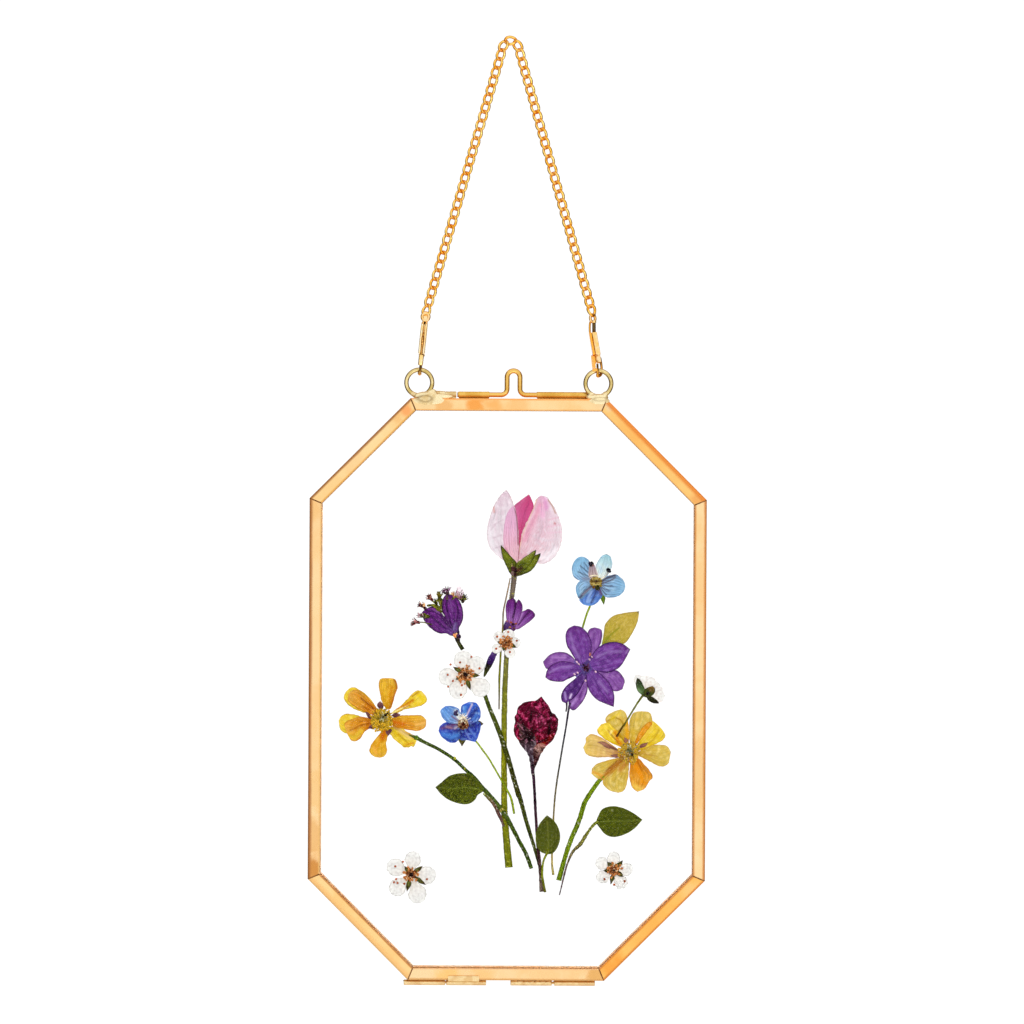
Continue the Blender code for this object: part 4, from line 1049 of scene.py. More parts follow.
def drawSheet(shape, one, look, depth, seed):
    left, right = (evenly(seen(one[side]), 400) for side in ("left", "right"))
    length = np.linalg.norm(np.diff(left, axis=0), axis=1).sum()
    breadth = np.linalg.norm(left - right, axis=1).max()
    step = look.get("step", 0.22)
    rows, columns = max(12, int(length / step)), max(7, int(breadth / step)) | 1
    picks = np.linspace(0, 399, rows).round().astype(int)
    left, right = left[picks], right[picks]
    share = np.linspace(0, 1, rows)
    ragged, fine = look.get("ragged", 0.12), look.get("ragSize", 1.1)
    taper = np.clip(np.minimum(share, 1 - share) * 8, 0, 1)[:, None]
    outward = unit(left - right + 1e-6)
    left = left + outward * (ragged * grain(left, fine, seed + 0.5))[:, None] * taper
    right = right - outward * (ragged * grain(right, fine, seed + 0.9))[:, None] * taper
    across = np.linspace(-1, 1, columns)
    blend = ((across + 1) / 2)[None, :, None]
    flat = right[:, None] * (1 - blend) + left[:, None] * blend
    toLeft, toRight = (np.linalg.norm(flat - side[:, None], axis=-1) for side in (left, right))
    edge = np.minimum(toLeft, toRight)
    edge = np.minimum(edge, (1 - share)[:, None] * length * 0.8 + 0 * edge)
    across2, share2 = across[None] + 0 * edge, share[:, None] + 0 * edge
    tints = blendTones(share2, look["along"])
    blots = grain(flat, look.get("blotSize", 1.6), seed + 1)
    for key, mask in (
        ("mottle", blots * 1.3),
        ("shadow", -blots * 1.3),
        ("leftSide", across2),
        ("rightSide", -across2),
    ):
        if key in look:
            colour, strength = look[key]
            tints = towards(tints, colour, np.clip(mask, 0, 1) * strength)
    if "veins" in look:  # fine lines that run from base to tip, as (colour, strength, how many)
        colour, strength, count = look["veins"]
        lines = 0.5 + 0.5 * np.cos((across2 + 0.12 * grain(flat, 2.5, seed)) * count * math.pi)
        tints = towards(tints, colour, lines ** 6 * strength * np.clip(1.25 - share2, 0, 1))
    streak = np.stack((across2 * 5 + seed, share2 * 1.3), -1)
    tints = tints * (1 + look.get("streak", 0.1) * grain(streak, 0.8, seed + 3))[..., None]
    relief = look.get("relief", 0.01) * grain(flat, 1.2, seed + 5)
    # a rim tone along the edge, which on the petals is painted shade where they curl and overlap
    if "rim" in look:
        colour, strength = look["rim"]
        tints = towards(tints, colour, np.exp(-(edge / look.get("rimWidth", 0.3)) ** 2) * strength)
    for points, width, colour, strength in look.get("marks", ()):
        tints = towards(tints, colour, nearness(flat, points, width) * strength)
    places = np.stack((flat[..., 0], depth + relief, flat[..., 1]), -1)
    strands = np.stack((across2, share2 * length, 0 * edge + seed * 1.37), -1)
    shape.grid(places, np.clip(tints, 0.002, 1), strands)


def drawStem(shape, one, depth, seed):
    flat = seen(one["points"])
    path, widths = smoothPath([(x, depth, z) for x, z in flat], np.array(one["widths"]) * photo["pixel"], 0.4)
    share = np.linspace(0, 1, len(path))
    kinks = np.array([noise.noise(Vector((place[0] * 0.5, place[2] * 0.35, seed))) for place in path])
    path[:, 0] += kinks * one.get("kink", 0.07)
    rough = np.array([noise.noise(Vector((0.9 * place[0], 1.6 * place[2], seed + 9))) for place in path])
    widths = widths * (1 + one.get("uneven", 0.15) * rough)
    tints = blendTones(share, one["tones"])
    patches = np.array([noise.noise(Vector((place[0], place[2] * 0.8, seed))) for place in path])
    tints = tints * (1 + one.get("patchy", 0.25) * patches)[:, None]
    thick = one.get("thick", pressing["stemThickness"])
    start = len(shape.places)
    sweep(shape, path, widths / 2, 12, flat=min(1.0, thick / max(widths)), tints=np.clip(tints, 0.002, 1))
    # painted shade: each stem is lighter along its middle and darker towards its sides
    for index in range(start, len(shape.tints)):
        away = abs(math.cos((index - start) % 12 * math.pi / 6))
        shape.tints[index] = shape.tints[index] * (1.08 - one.get("edge", 0.35) * away ** 3)
        if chance.random() < one.get("specks", 0):
            speck = one.get("speckTone", (206, 206, 184))
            shape.tints[index] = towards(shape.tints[index], speck, np.array(0.8))
    for side in (-1, 1) if one.get("hairs") else ():
        for index in range(1, len(path) - 1):
            if chance.random() < one["hairs"]:
                base, ahead = path[index], unit(path[index + 1] - path[index - 1])
                aside = np.cross(ahead, (0, 1, 0)) * side
                start = base + aside * widths[index] * 0.42
                tip = start + aside * (0.15 + 0.25 * chance.random()) + ahead * (chance.random() - 0.5) * 0.5
                tone = tints[index] * (0.5 if chance.random() < 0.5 else 1.5)
                hair = [start, (start + tip) / 2, tip]
                sweep(shape, hair, (0.13, 0.08, 0.02), 4, tints=np.clip(tone, 0, 1))


def drawBud(shape, one, depth):
    radius = one["radius"] * photo["pixel"]
    flat = min(radius, pressing["budThickness"])
    x, z = seen(one["place"])[0]
    tone = np.array(shade(*one["tone"])) * (0.85 + 0.3 * chance.random())
    start = len(shape.places)
    ball(shape, (x, depth - one["proud"], z), (radius, flat, radius * one["tall"]), tone,
         9, 12, math.radians(one["turn"]), 0.35)
    places = np.array(shape.places[start:])[:, ::2]
    clouded = (1 + 0.45 * grain(places, 0.5, start % 97))[:, None]
    shape.tints[start:] = list(np.array(shape.tints[start:]) * clouded)


def tuft(place, reach, count, filament, anther, seed, size=0.9, inner=0.25):  # a brush of stamens
    own = random.Random(seed)
    pieces = []
    for _ in range(count):
        turn, away = own.random() * 2 * math.pi, reach * (0.45 + 0.6 * own.random())
        end = (place[0] + away * math.cos(turn), place[1] + away * math.sin(turn))
        bent = turn + (own.random() - 0.5) * 1.2
        half = (place[0] + away * 0.5 * math.cos(bent), place[1] + away * 0.5 * math.sin(bent))
        root, near = turn + 0.4, inner * away
        start = (place[0] + near * math.cos(root), place[1] + near * math.sin(root))
        pieces.append(stem([start, half, end], [1.0, 0.9, 0.7], filament, patchy=1.3, thick=0.2, edge=0.1))
        if anther is not None:
            pieces.append(bud(end, size * (0.7 + 0.5 * own.random()), anther, 1.2, own.random() * 180))
    return pieces


def makeSpecimen(specimen):  # its petals as one mesh, its stems and buds as another
    node, pieces, slot = specimen["node"], specimen["pieces"], specimen["slot"]
    low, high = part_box(node)
    depth = (low.y + high.y) / 2 / mm
    layered = [
        one for one in pieces
        if one["kind"] == "sheet" or len(one.get("points", ())) > 3 or "level" in one
    ]
    step = min(pressing["layerStep"], pressing["room"] / max(len(layered), 1))
    shape, green = Shape(), Shape()
    level = step * (len(layered) - 1) / 2
    for index, one in enumerate(pieces):
        if one in layered and index:
            level -= step
        if one["kind"] == "stem":
            drawStem(green, one, level, index)
        elif one["kind"] == "sheet":
            look = {**lookOf(one["look"], specimen.get("looks", {})), **one["more"]}
            drawSheet(shape, one, look, level, index + len(pieces) % 7)
        else:
            drawBud(green, one, level - pressing["budLift"])
    stand = Matrix.Translation((0, 0, octagon["middle"])) @ Matrix.Rotation(-octagon["bouquetTilt"], 4, "Y")
    stand = stand @ Matrix.Translation((0, depth, 0))
    camel = camelCase(node)
    if shape.places:
        addPiece(camel, shape.mesh(camel, stand), skins[specimen["skin"]], "front_half", slot, node)
    if green.places:
        name = camel + "Stalks" if shape.places else camel
        replaced = () if shape.places else (node,)
        addPiece(name, green.mesh(name, stand), skins["stem"], "front_half", slot, *replaced)


black = (18, 16, 22)
sheen = (170, 134, 200)
antherTone = (176, 88, 44)
petalLooks = {  # what several specimens share
    "own": {},  # the petal gives all of its look itself
    "white": {"along": ((216, 202, 180), (230, 224, 216), (236, 235, 231), (233, 232, 227)),
        "rim": ((168, 166, 156), 0.7), "rimWidth": 0.2, "shadow": ((206, 202, 200), 0.6), "blotSize": 0.8,
        "streak": 0.03, "ragged": 0.2, "ragSize": 0.9, "mottle": ((242, 242, 240), 0.5),
        "veins": ((208, 206, 200), 0.4, 4)},
    "sepal": {"along": ((70, 60, 20), (86, 92, 36), (70, 46, 24)), "rim": ((54, 34, 18), 0.6),
        "ragged": 0.1, "streak": 0.3},
    "nest": {"along": ((150, 96, 50), (120, 70, 34), (150, 96, 50)), "mottle": ((206, 150, 96), 0.9),
        "shadow": ((40, 18, 10), 0.95), "blotSize": 0.35, "ragged": 0.6, "ragSize": 0.5,
        "rim": ((70, 36, 20), 0.5)},
    "gold": {"along": ((186, 134, 10), (208, 150, 16), (218, 166, 42), (222, 176, 62)),
        "rim": ((176, 116, 20), 0.6), "rimWidth": 0.24, "streak": 0.12, "ragged": 0.1,
        "mottle": ((238, 192, 70), 0.5), "shadow": ((206, 130, 10), 0.35), "blotSize": 1.4,
        "veins": ((180, 104, 10), 0.4, 6)},
    "orange": {"like": "gold", "along": ((172, 92, 8), (206, 128, 18), (220, 156, 48), (224, 170, 78)),
        "rim": ((160, 84, 20), 0.6), "veins": ((146, 74, 10), 0.6, 6), "mottle": ((236, 180, 80), 0.45),
        "shadow": ((210, 120, 16), 0.4)},
    "paleGold": {"like": "gold", "along": ((172, 126, 20), (196, 162, 58), (206, 178, 80), (210, 186, 96)),
        "mottle": ((234, 210, 124), 0.6), "shadow": ((212, 170, 56), 0.45),
        "veins": ((186, 140, 40), 0.4, 8)},
    "limeGold": {"like": "gold", "along": ((196, 160, 20), (218, 186, 30), (230, 200, 50), (232, 202, 70)),
        "mottle": ((240, 216, 100), 0.5), "shadow": ((214, 166, 30), 0.4), "veins": ((190, 140, 20), 0.4,
        6)},
    "mauve": {"along": ((84, 44, 40), (150, 96, 80), (176, 124, 100)), "rim": ((110, 66, 56), 0.7),
        "ragged": 0.08, "streak": 0.25, "veins": ((96, 50, 44), 0.6, 3)},
    "purpleBit": {"like": "mauve", "along": ((60, 34, 40), (96, 56, 66), (130, 84, 84))},
    "stamens": {"along": ((150, 120, 20), (110, 96, 40), (150, 120, 20)), "mottle": ((206, 170, 40), 0.9),
        "shadow": ((56, 48, 16), 0.95), "blotSize": 0.4, "ragged": 0.8, "ragSize": 0.55,
        "rim": ((96, 60, 20), 0.5)},
    "leaf": {"along": ((78, 88, 10), (74, 82, 8), (70, 78, 6), (70, 74, 8)), "rim": ((96, 108, 24), 0.6),
        "rimWidth": 0.3, "ragged": 0.03, "mottle": ((100, 106, 22), 0.5), "shadow": ((50, 62, 2), 0.6),
        "blotSize": 0.9, "streak": 0.06},
}
stalks = {  # tones of stems, from the flower down
    "deep": ((74, 90, 34), (64, 82, 20), (46, 66, 8)),
    "green": ((96, 116, 20), (108, 132, 8), (96, 120, 6)),
    "lime": ((150, 168, 40), (134, 154, 16), (120, 138, 16)),
    "straw": ((110, 86, 16), (206, 170, 50)),
    "mauve": ((120, 128, 40), (116, 110, 50), (96, 76, 70), (84, 64, 70)),
    "olive": ((60, 62, 16), (104, 104, 26), (70, 72, 18)),
}
# the pink bloom on its long hairy stem
pinkBloom = {
    "node": "pink_bloom", "skin": "petal", "slot": "petal_pink",
    "looks": {
        "outer": {"along": ((216, 184, 194), (222, 210, 216), (217, 204, 211), (214, 190, 202)),
            "rim": ((184, 156, 156), 0.5), "rimWidth": 0.22, "streak": 0.06, "ragged": 0.07,
            "veins": ((206, 160, 184), 0.3, 13), "mottle": ((230, 220, 226), 0.6),
            "shadow": ((206, 178, 192), 0.4), "blotSize": 1.5},
        "right": {"like": "outer", "along": ((214, 156, 172), (222, 188, 198), (220, 190, 204),
            (214, 160, 188)), "rightSide": ((228, 218, 223), 0.8), "ragged": 0.16, "ragSize": 0.8,
            "veins": ((190, 90, 110), 0.4, 15)},
        "fold": {"along": ((222, 182, 188), (222, 176, 194), (220, 170, 200), (214, 166, 196)),
            "veins": ((180, 84, 100), 0.5, 7), "streak": 0.06, "ragged": 0.03},
        "deep": {"along": ((186, 84, 108), (184, 56, 98), (190, 76, 128), (186, 60, 108)),
            "leftSide": ((206, 120, 162), 0.5), "rim": ((140, 24, 74), 0.6), "rimWidth": 0.2,
            "streak": 0.14, "ragged": 0.04},
        "calyx": {"along": ((60, 44, 18), (74, 84, 14), (104, 114, 22), (60, 62, 10)),
            "rim": ((36, 30, 6), 0.85), "rimWidth": 0.36, "ragged": 0.1, "streak": 0.3,
            "mottle": ((136, 142, 50), 0.5), "blotSize": 0.7},
    },
    "pieces": [
        stem([(514.8, 572), (514.2, 582), (513.2, 590), (509.3, 623), (505, 700), (504.6, 790), (505, 815),
            (507.2, 845), (509.4, 869)], [6, 5.2, 5, 4.2, 5.4, 6, 6.4, 7, 7.6],
            ((106, 90, 84), (116, 106, 76), (108, 110, 30), (126, 128, 10), (116, 118, 6), (108, 114, 12)),
            hairs=0.9, specks=0.05, speckTone=(190, 190, 70), uneven=0.08, edge=0.5),
        sheet((517.6, 566), [(516.4, 545), (516.4, 530), (515.2, 515), (514.4, 506.4), (521.5, 500)],
            (529.4, 494.2), [(519.8, 556), (521.5, 542), (526.5, 528), (532, 515), (534.2, 506),
            (531.8, 498.6)], "deep", marks=(([(518.4, 562), (519.2, 545)], 1.2, (150, 70, 84), 0.7),)),
        sheet((518, 563.5), [(509, 561.5), (502.2, 559.4), (493.9, 552.2), (488.9, 544.4), (487.2, 534.4),
            (488.3, 524.4), (491.7, 512.2), (496.1, 502.2), (501.7, 494.4)], (506.7, 489.8),
            [(518.8, 551), (519.4, 542.2), (518.9, 530), (518.1, 521.1), (516.7, 512.2), (514.4, 505.6),
            (512.2, 498.9), (509.4, 493.3)], "outer", marks=(([(511.5, 497), (513.5, 501)], 0.8,
            (200, 110, 100), 0.6), ([(494, 507), (494.5, 512)], 1.0, (206, 120, 100), 0.6),
            ([(491, 530), (492, 545), (499, 556)], 3, (232, 226, 230), 0.6),
            ([(503, 520), (496, 524), (491, 530)], 0.8, (192, 164, 178), 0.5),
            ([(502, 535), (494, 538)], 0.8, (192, 164, 178), 0.5), ([(503, 546), (496, 548)], 0.8,
            (192, 164, 178), 0.5))),
        sheet((518, 563.5), [(506, 553), (504, 544), (503.7, 534), (505.2, 522), (508.2, 512)],
            (513.6, 505.5), [(519, 551), (519.3, 541), (518.8, 530), (518, 521), (516.5, 512)], "fold",
            marks=(([(514.8, 506), (517, 516), (518.2, 528), (518.8, 545)], 0.8, (120, 50, 50), 0.8),
            ([(506, 548), (509, 554)], 0.8, (170, 90, 90), 0.6))),
        sheet((518.6, 563.5), [(519.6, 551.1), (521.3, 537.8), (523.9, 528.9), (527.8, 521.1),
            (532.2, 512.2), (535, 504.4), (537.4, 498.6)], (541.5, 495.4), [(528, 562.8), (541.7, 563.9),
            (548.3, 562.6), (555, 557.8), (560, 548.9), (562.3, 540), (562.7, 530), (560.5, 521),
            (557.8, 513.3), (554.4, 506.5), (550.4, 500.6), (547, 496.8)], "right",
            marks=(([(537.5, 499), (533, 511), (527, 525), (521.5, 540), (519.6, 552)], 0.7,
            (222, 186, 150), 0.7), ([(541, 505), (536, 516), (530, 528), (525, 540)], 3.2, (220, 140, 168),
            0.7), ([(546, 500), (547, 508)], 2.6, (216, 130, 190), 0.6), ([(542, 508), (543, 516)], 2.6,
            (232, 170, 206), 0.6), ([(555.5, 523.5)], 1.3, (190, 90, 96), 0.9),
            ([(549, 500), (553, 506), (556, 513)], 0.7, (170, 120, 90), 0.8),
            ([(534, 536), (546, 541), (558, 539)], 1.2, (214, 196, 206), 0.5),
            ([(535, 541), (546, 548), (559, 546)], 1.0, (216, 196, 206), 0.5),
            ([(549, 520), (560, 517)], 0.8, (224, 170, 190), 0.6), ([(548, 527), (561, 525)], 0.8,
            (224, 176, 196), 0.6), ([(547, 533), (562, 532)], 0.8, (224, 180, 200), 0.6),
            ([(538, 556), (548, 558), (556, 550)], 3.5, (244, 238, 242), 0.7))),
        sheet((514.4, 577), [(511.1, 574.4), (506.7, 566.7), (503.3, 558.9), (501.6, 551.1)],
            (501.1, 544.8), [(517, 573), (517.8, 567), (516.7, 562.2), (513.9, 559.2), (509.4, 554.2),
            (505, 548.9)], "calyx"),
        sheet((515, 577.2), [(516, 567), (519.6, 563), (529.4, 558.4), (534, 556)], (541.2, 553.2),
            [(519.4, 576.1), (525, 574.4), (530.6, 571.7), (535, 567.2), (538.3, 561.7), (540.6, 556.7)],
            "calyx"),
        sheet((514.8, 576), [(515, 568), (516.8, 563.6), (522.8, 558.9), (529.4, 554.2), (533.9, 551.2)],
            (536.8, 549.8), [(520, 573.6), (527, 569.2), (532, 562.4), (535.6, 556.2)], "calyx",
            marks=(([(514, 567), (518, 571), (522, 568)], 1.9, (54, 22, 24), 0.9),
            ([(518, 563), (527, 557.4), (534, 552.4)], 0.7, (160, 160, 80), 0.5),
            ([(519, 566), (526, 563)], 0.7, (36, 34, 8), 0.8))),
        bud((513.4, 569), 1.9, (70, 40, 40), 1.6, 10), bud((515.8, 570.6), 1.8, (44, 22, 26), 1.1),
        bud((518.8, 570.5), 1.7, (84, 50, 30), 0.9), bud((513, 573.8), 1.6, (110, 84, 80), 1.5),
        bud((515.8, 574.4), 1.3, (60, 30, 30), 1.2), bud((512.4, 565), 1.0, (150, 140, 70), 1.6),
    ],
}

# the pale blue flower
skyBlueFlower = {
    "node": "sky_blue_flower", "skin": "petal", "slot": "petal_blue",
    "looks": {
        "blue": {"along": ((150, 160, 180), (136, 172, 206), (132, 178, 214), (112, 170, 208)),
            "rim": ((70, 116, 160), 0.5), "rimWidth": 0.22, "streak": 0.12, "ragged": 0.08,
            "veins": ((40, 62, 96), 0.95, 8), "mottle": ((170, 204, 226), 0.5)},
        "pale": {"like": "blue", "along": ((244, 240, 224), (222, 232, 226), (176, 208, 214),
            (130, 184, 200)), "veins": ((90, 130, 150), 0.6, 8)},
        "deep": {"like": "blue", "along": ((60, 60, 110), (76, 104, 176), (86, 126, 200), (90, 140, 206)),
            "veins": ((36, 44, 100), 0.8, 5), "mottle": ((150, 186, 230), 0.5)},
        "green": {"along": ((60, 70, 20), (84, 106, 20), (100, 130, 30)), "rim": ((40, 56, 10), 0.6),
            "ragged": 0.04},
    },
    "pieces": [
        stem([(597, 594), (594.5, 600), (591, 606), (587, 616), (583.3, 628.6)], [2.0, 2.0, 2, 2, 2],
            stalks["lime"], thick=0.06),
        sheet((599.2, 588), [(600.4, 595), (602.2, 601)], (604.9, 605.4), [(603.6, 592), (606.2, 598)],
            "green"),
        sheet((597, 583), [(590.2, 588.4), (583.1, 595), (580, 600), (583.6, 604.6)], (589, 606.2),
            [(603, 587.6), (603.2, 596), (598.2, 602.8), (594, 605.6)], "deep",
            marks=(([(598, 590), (592, 603)], 1.0, (50, 50, 100), 0.8), ([(600, 588), (602, 594)], 2.0,
            (96, 70, 90), 0.8), ([(592, 592), (588, 602)], 1.4, (170, 200, 236), 0.5))),
        sheet((596, 581.5), [(584, 579.4), (577.6, 585), (576.8, 591.2)], (578.8, 598.2),
            [(594, 588.6), (588.2, 594.4), (582.4, 599.4)], "blue", marks=(([(593, 586), (586.6, 591.4),
            (580.6, 598)], 1.9, (70, 62, 84), 0.95), ([(590, 589), (583.4, 595)], 0.7, (150, 140, 150),
            0.6))),
        sheet((598, 583), [(605, 577.4), (616, 574.6), (621.3, 577.6), (625.3, 582.3)], (626.2, 587.4),
            [(601.2, 589.4), (605.6, 596.9), (612.4, 597.9), (619.6, 596.1), (624.4, 592.1)], "blue",
            marks=(([(600, 583.6), (607, 578.6), (616, 575.6)], 1.5, (70, 60, 74), 0.95),
            ([(600, 585), (610, 581.4), (616, 578)], 0.8, (84, 70, 90), 0.9),
            ([(600, 586), (613, 586)], 0.7, (60, 60, 90), 0.8), ([(600, 587), (610, 591)], 0.7,
            (60, 60, 90), 0.8), ([(602, 589), (607, 595)], 0.7, (60, 60, 90), 0.7))),
        sheet((597, 581), [(586, 582), (577, 579.4), (573.2, 574), (572.9, 567), (575.6, 560.5),
            (579.6, 557.3)], (582.5, 556.8), [(597, 574), (594.6, 569), (591.6, 563.7), (588.9, 559.7),
            (585.5, 557.4)], "blue", marks=(([(594, 579.6), (584, 578.6)], 1.4, (120, 116, 136), 0.6),
            ([(577, 573), (578, 564), (583, 560)], 2.4, (140, 190, 220), 0.6),
            ([(592, 578), (579, 572)], 0.7, (50, 66, 90), 0.8), ([(592, 575), (581, 566)], 0.7,
            (50, 66, 90), 0.8), ([(592, 572), (585, 563)], 0.7, (60, 76, 100), 0.7))),
        sheet((598, 582), [(596.6, 574.3), (597, 565.4), (600.9, 558.3), (603.6, 555.6)], (607.4, 554.2),
            [(604.6, 579), (608.6, 575.6), (611.8, 569.9), (613, 563.7), (611.4, 556.8)], "pale"),
        sheet((597, 582), [(590, 578), (589.6, 570), (590.4, 565)], (592.4, 563),
            [(599, 577), (597.2, 570), (595.2, 565)], "own", along=((230, 214, 180), (200, 176, 170),
            (170, 150, 156), (130, 110, 130)), veins=((70, 44, 54), 0.95, 3), ragged=0.05),
        stem([(590.6, 576.6), (595, 575.6), (599.6, 576.8)], [1.2, 1.4, 1.2],
            ((250, 240, 214), (240, 226, 186)), level=1),
        stem([(602, 579.4), (607, 575.6), (609, 571.5)], [1.4, 1.1, 0.9], ((230, 222, 200),
            (150, 140, 140))),
        disc((596.6, 582), 6.6, "own", 0.72, along=((150, 120, 40), (190, 166, 80), (150, 120, 40)),
            mottle=((206, 190, 120), 0.8), shadow=((84, 50, 20), 0.9), blotSize=0.45,
            rim=((96, 80, 30), 0.6), ragged=0.25, ragSize=0.6, marks=(([(592, 581.4), (600, 581.6)], 1.5,
            (50, 20, 12), 0.9), ([(597, 581.4)], 1.6, (40, 14, 10), 1.0))),
        bud((598.2, 588), 2.4, (50, 50, 18), 1.1), bud((594.6, 587.4), 1.6, (100, 70, 24), 0.9),
        bud((601.4, 586), 1.5, (120, 104, 40), 0.9), bud((592.2, 564.3), 2.3, black, 1.15, 20, 0.05),
        bud((590.4, 563.2), 1.3, (60, 50, 84), 1.0, 0, 0.05),
        bud((593.6, 565.6), 1.0, (110, 70, 60), 1.0, 0, 0.06),
        bud((609.2, 570.2), 2.0, (12, 14, 26), 1.1, 60, 0.05),
        bud((610.6, 571.6), 1.5, (20, 22, 40), 1.0, 30, 0.05),
    ],
}


def sprig(place, size, pale, dark, turn, seed):  # a half-open bud with pointed lobes
    own = random.Random(seed)
    pieces = []
    for spread in (-46, 40, -28, 24, -9, 8):
        angle = math.radians(turn + spread + own.random() * 12)
        reach = size * (1.3 + 0.5 * own.random())
        tip = (place[0] + reach * math.cos(angle), place[1] - reach * math.sin(angle))
        middle = ((place[0] * 1.2 + tip[0]) / 2.2, (place[1] * 1.2 + tip[1]) / 2.2)
        tone = pale if own.random() < 0.55 else dark
        widths = [size * 0.5, size * 0.48, size * 0.12]
        pieces.append(stem([place, middle, tip], widths, (dark, tone, tone), patchy=1.0, edge=0.6))
        if own.random() < 0.5:
            pieces.append(bud(tip, size * 0.16, dark))
    back, angle = size * 0.2, math.radians(turn)
    base = (place[0] - back * math.cos(angle), place[1] + back * math.sin(angle))
    return pieces + [bud(base, size * 0.5, dark, 1.3, turn - 90)]


# two purple petals and a fan of little buds
violetSpray = {
    "node": "violet_spray", "skin": "petal", "slot": "petal_violet",
    "looks": {
        "violet": {"along": ((116, 84, 150), (96, 44, 116), (98, 34, 116), (70, 20, 84)),
            "rim": ((40, 12, 50), 0.9), "rimWidth": 0.4, "streak": 0.22, "ragged": 0.07,
            "veins": ((48, 14, 70), 0.85, 4), "mottle": ((128, 60, 146), 0.5),
            "shadow": ((70, 20, 90), 0.5), "blotSize": 0.9},
    },
    "pieces": [
        stem([(451, 625), (444, 612), (440, 600), (438.6, 592)], [3, 3.4, 4.4, 2.4], stalks["olive"],
            patchy=0.9, uneven=0.6),
        stem([(441, 610), (436, 604), (429, 599)], [3.2, 1.6, 1.1], stalks["olive"], patchy=0.9, uneven=0.5),
        stem([(442, 613), (434, 606), (427, 606)], [4.4, 3.8, 1.4], stalks["olive"], patchy=0.9, uneven=0.7),
        stem([(432, 625), (425, 623), (418, 622.4)], [2.0, 1.2, 1.1], stalks["olive"]),
        stem([(430, 618), (424, 615), (420, 616)], [3.6, 3.4, 1.4], stalks["olive"], patchy=0.9, uneven=0.6),
        stem([(449, 603), (456, 597), (462, 599), (464, 594)], [3, 3.0, 3.6, 2.0], stalks["olive"],
            patchy=0.9, uneven=0.6),
        stem([(447, 600), (447.6, 594), (447.4, 589)], [3.6, 3.2, 2], ((80, 60, 50), (90, 60, 80)),
            uneven=0.5),
        *sprig((461, 597), 4.0, (240, 222, 230), (110, 70, 80), 100, 3),
        *sprig((463.6, 600.5), 3.6, (104, 108, 36), (44, 34, 24), 60, 4),
        *sprig((458.4, 596.6), 3.0, (236, 214, 220), (140, 96, 96), 110, 14),
        bud((459.4, 589.8), 2.6, (236, 220, 226), 1.1), bud((462.6, 591.4), 1.8, (240, 226, 232), 1.0),
        bud((457.6, 592), 1.5, (200, 160, 176), 1.2),
        *sprig((453.6, 595.4), 2.4, (236, 200, 150), (190, 120, 80), 110, 5),
        *sprig((447.6, 592.6), 3.4, (150, 104, 140), (56, 32, 36), 90, 6),
        *sprig((444.6, 592.8), 2.4, (120, 84, 110), (56, 32, 36), 120, 15),
        *sprig((439.6, 597.6), 3.4, (130, 124, 30), (64, 60, 14), 84, 7),
        *sprig((436.4, 603.4), 3.0, (116, 116, 30), (56, 54, 14), 110, 16),
        bud((438.8, 594.6), 1.7, (104, 90, 20), 1.7),
        *sprig((431.4, 599.4), 3.2, (176, 110, 96), (84, 40, 34), 140, 8),
        *sprig((429, 597.6), 2.2, (130, 70, 60), (84, 40, 34), 100, 17),
        *sprig((424.6, 607.8), 3.4, (236, 176, 120), (64, 30, 30), 128, 9),
        *sprig((421.4, 605.6), 2.6, (226, 150, 100), (70, 34, 40), 160, 18),
        *sprig((424, 617), 3.0, (200, 160, 166), (76, 72, 44), 140, 10),
        *sprig((420.6, 615.6), 2.4, (190, 150, 156), (96, 60, 66), 170, 19),
        *sprig((417.4, 622.6), 3.4, (206, 146, 146), (96, 38, 38), 168, 11),
        *sprig((413.8, 624), 2.2, (176, 120, 110), (90, 36, 36), 190, 20),
        sheet((456, 637), [(450.5, 636), (446.2, 633.8), (440, 633.9), (432.9, 630.3), (425.8, 623.2),
            (422.6, 617)], (422, 612.6), [(456, 629), (449.8, 623.7), (446.4, 619.2), (441, 612.2),
            (436.4, 607.8), (431.6, 606.8), (425.8, 609.4)], "violet", marks=(([(427, 612), (434, 611),
            (441, 616), (448, 626)], 0.8, (36, 12, 50), 0.85), ([(431, 617), (438, 622), (446, 629)], 0.8,
            (44, 14, 60), 0.8), ([(433, 609.4), (440, 613.6)], 0.8, (150, 90, 170), 0.5))),
        sheet((456.4, 636), [(451, 629), (447.1, 622.1), (442.9, 612.3), (442.2, 604.3), (443.6, 598.1)],
            (446.9, 593.8), [(459.5, 633.8), (459.4, 628.3), (462.4, 622.1), (463.5, 615.9), (462.4, 607),
            (458.7, 599.7), (452.4, 595.5)], "violet", marks=(([(448, 599), (446.6, 608), (449, 618),
            (453, 628)], 0.8, (36, 12, 50), 0.85), ([(456, 601), (458.6, 611), (457, 622), (455, 630)], 0.8,
            (36, 12, 50), 0.85), ([(450, 600), (453, 612)], 0.9, (140, 84, 164), 0.5),
            ([(454, 630), (456, 624)], 1.2, (130, 110, 170), 0.6))),
        stem([(456.4, 632), (457.6, 638.6), (459, 643), (463, 650)], [6.6, 5.4, 3.6, 4.2],
            ((92, 60, 120), (50, 34, 36), (46, 50, 16), (54, 60, 20))),
        bud((455, 636), 1.7, (220, 140, 80), 1.3, 30, 0.06),
        bud((456.6, 634.2), 1.1, (236, 180, 120), 1.0, 0, 0.07),
        bud((458.2, 633.2), 1.7, (50, 26, 36), 0.9), bud((459.8, 637), 1.5, (60, 30, 64), 1.3),
    ],
}

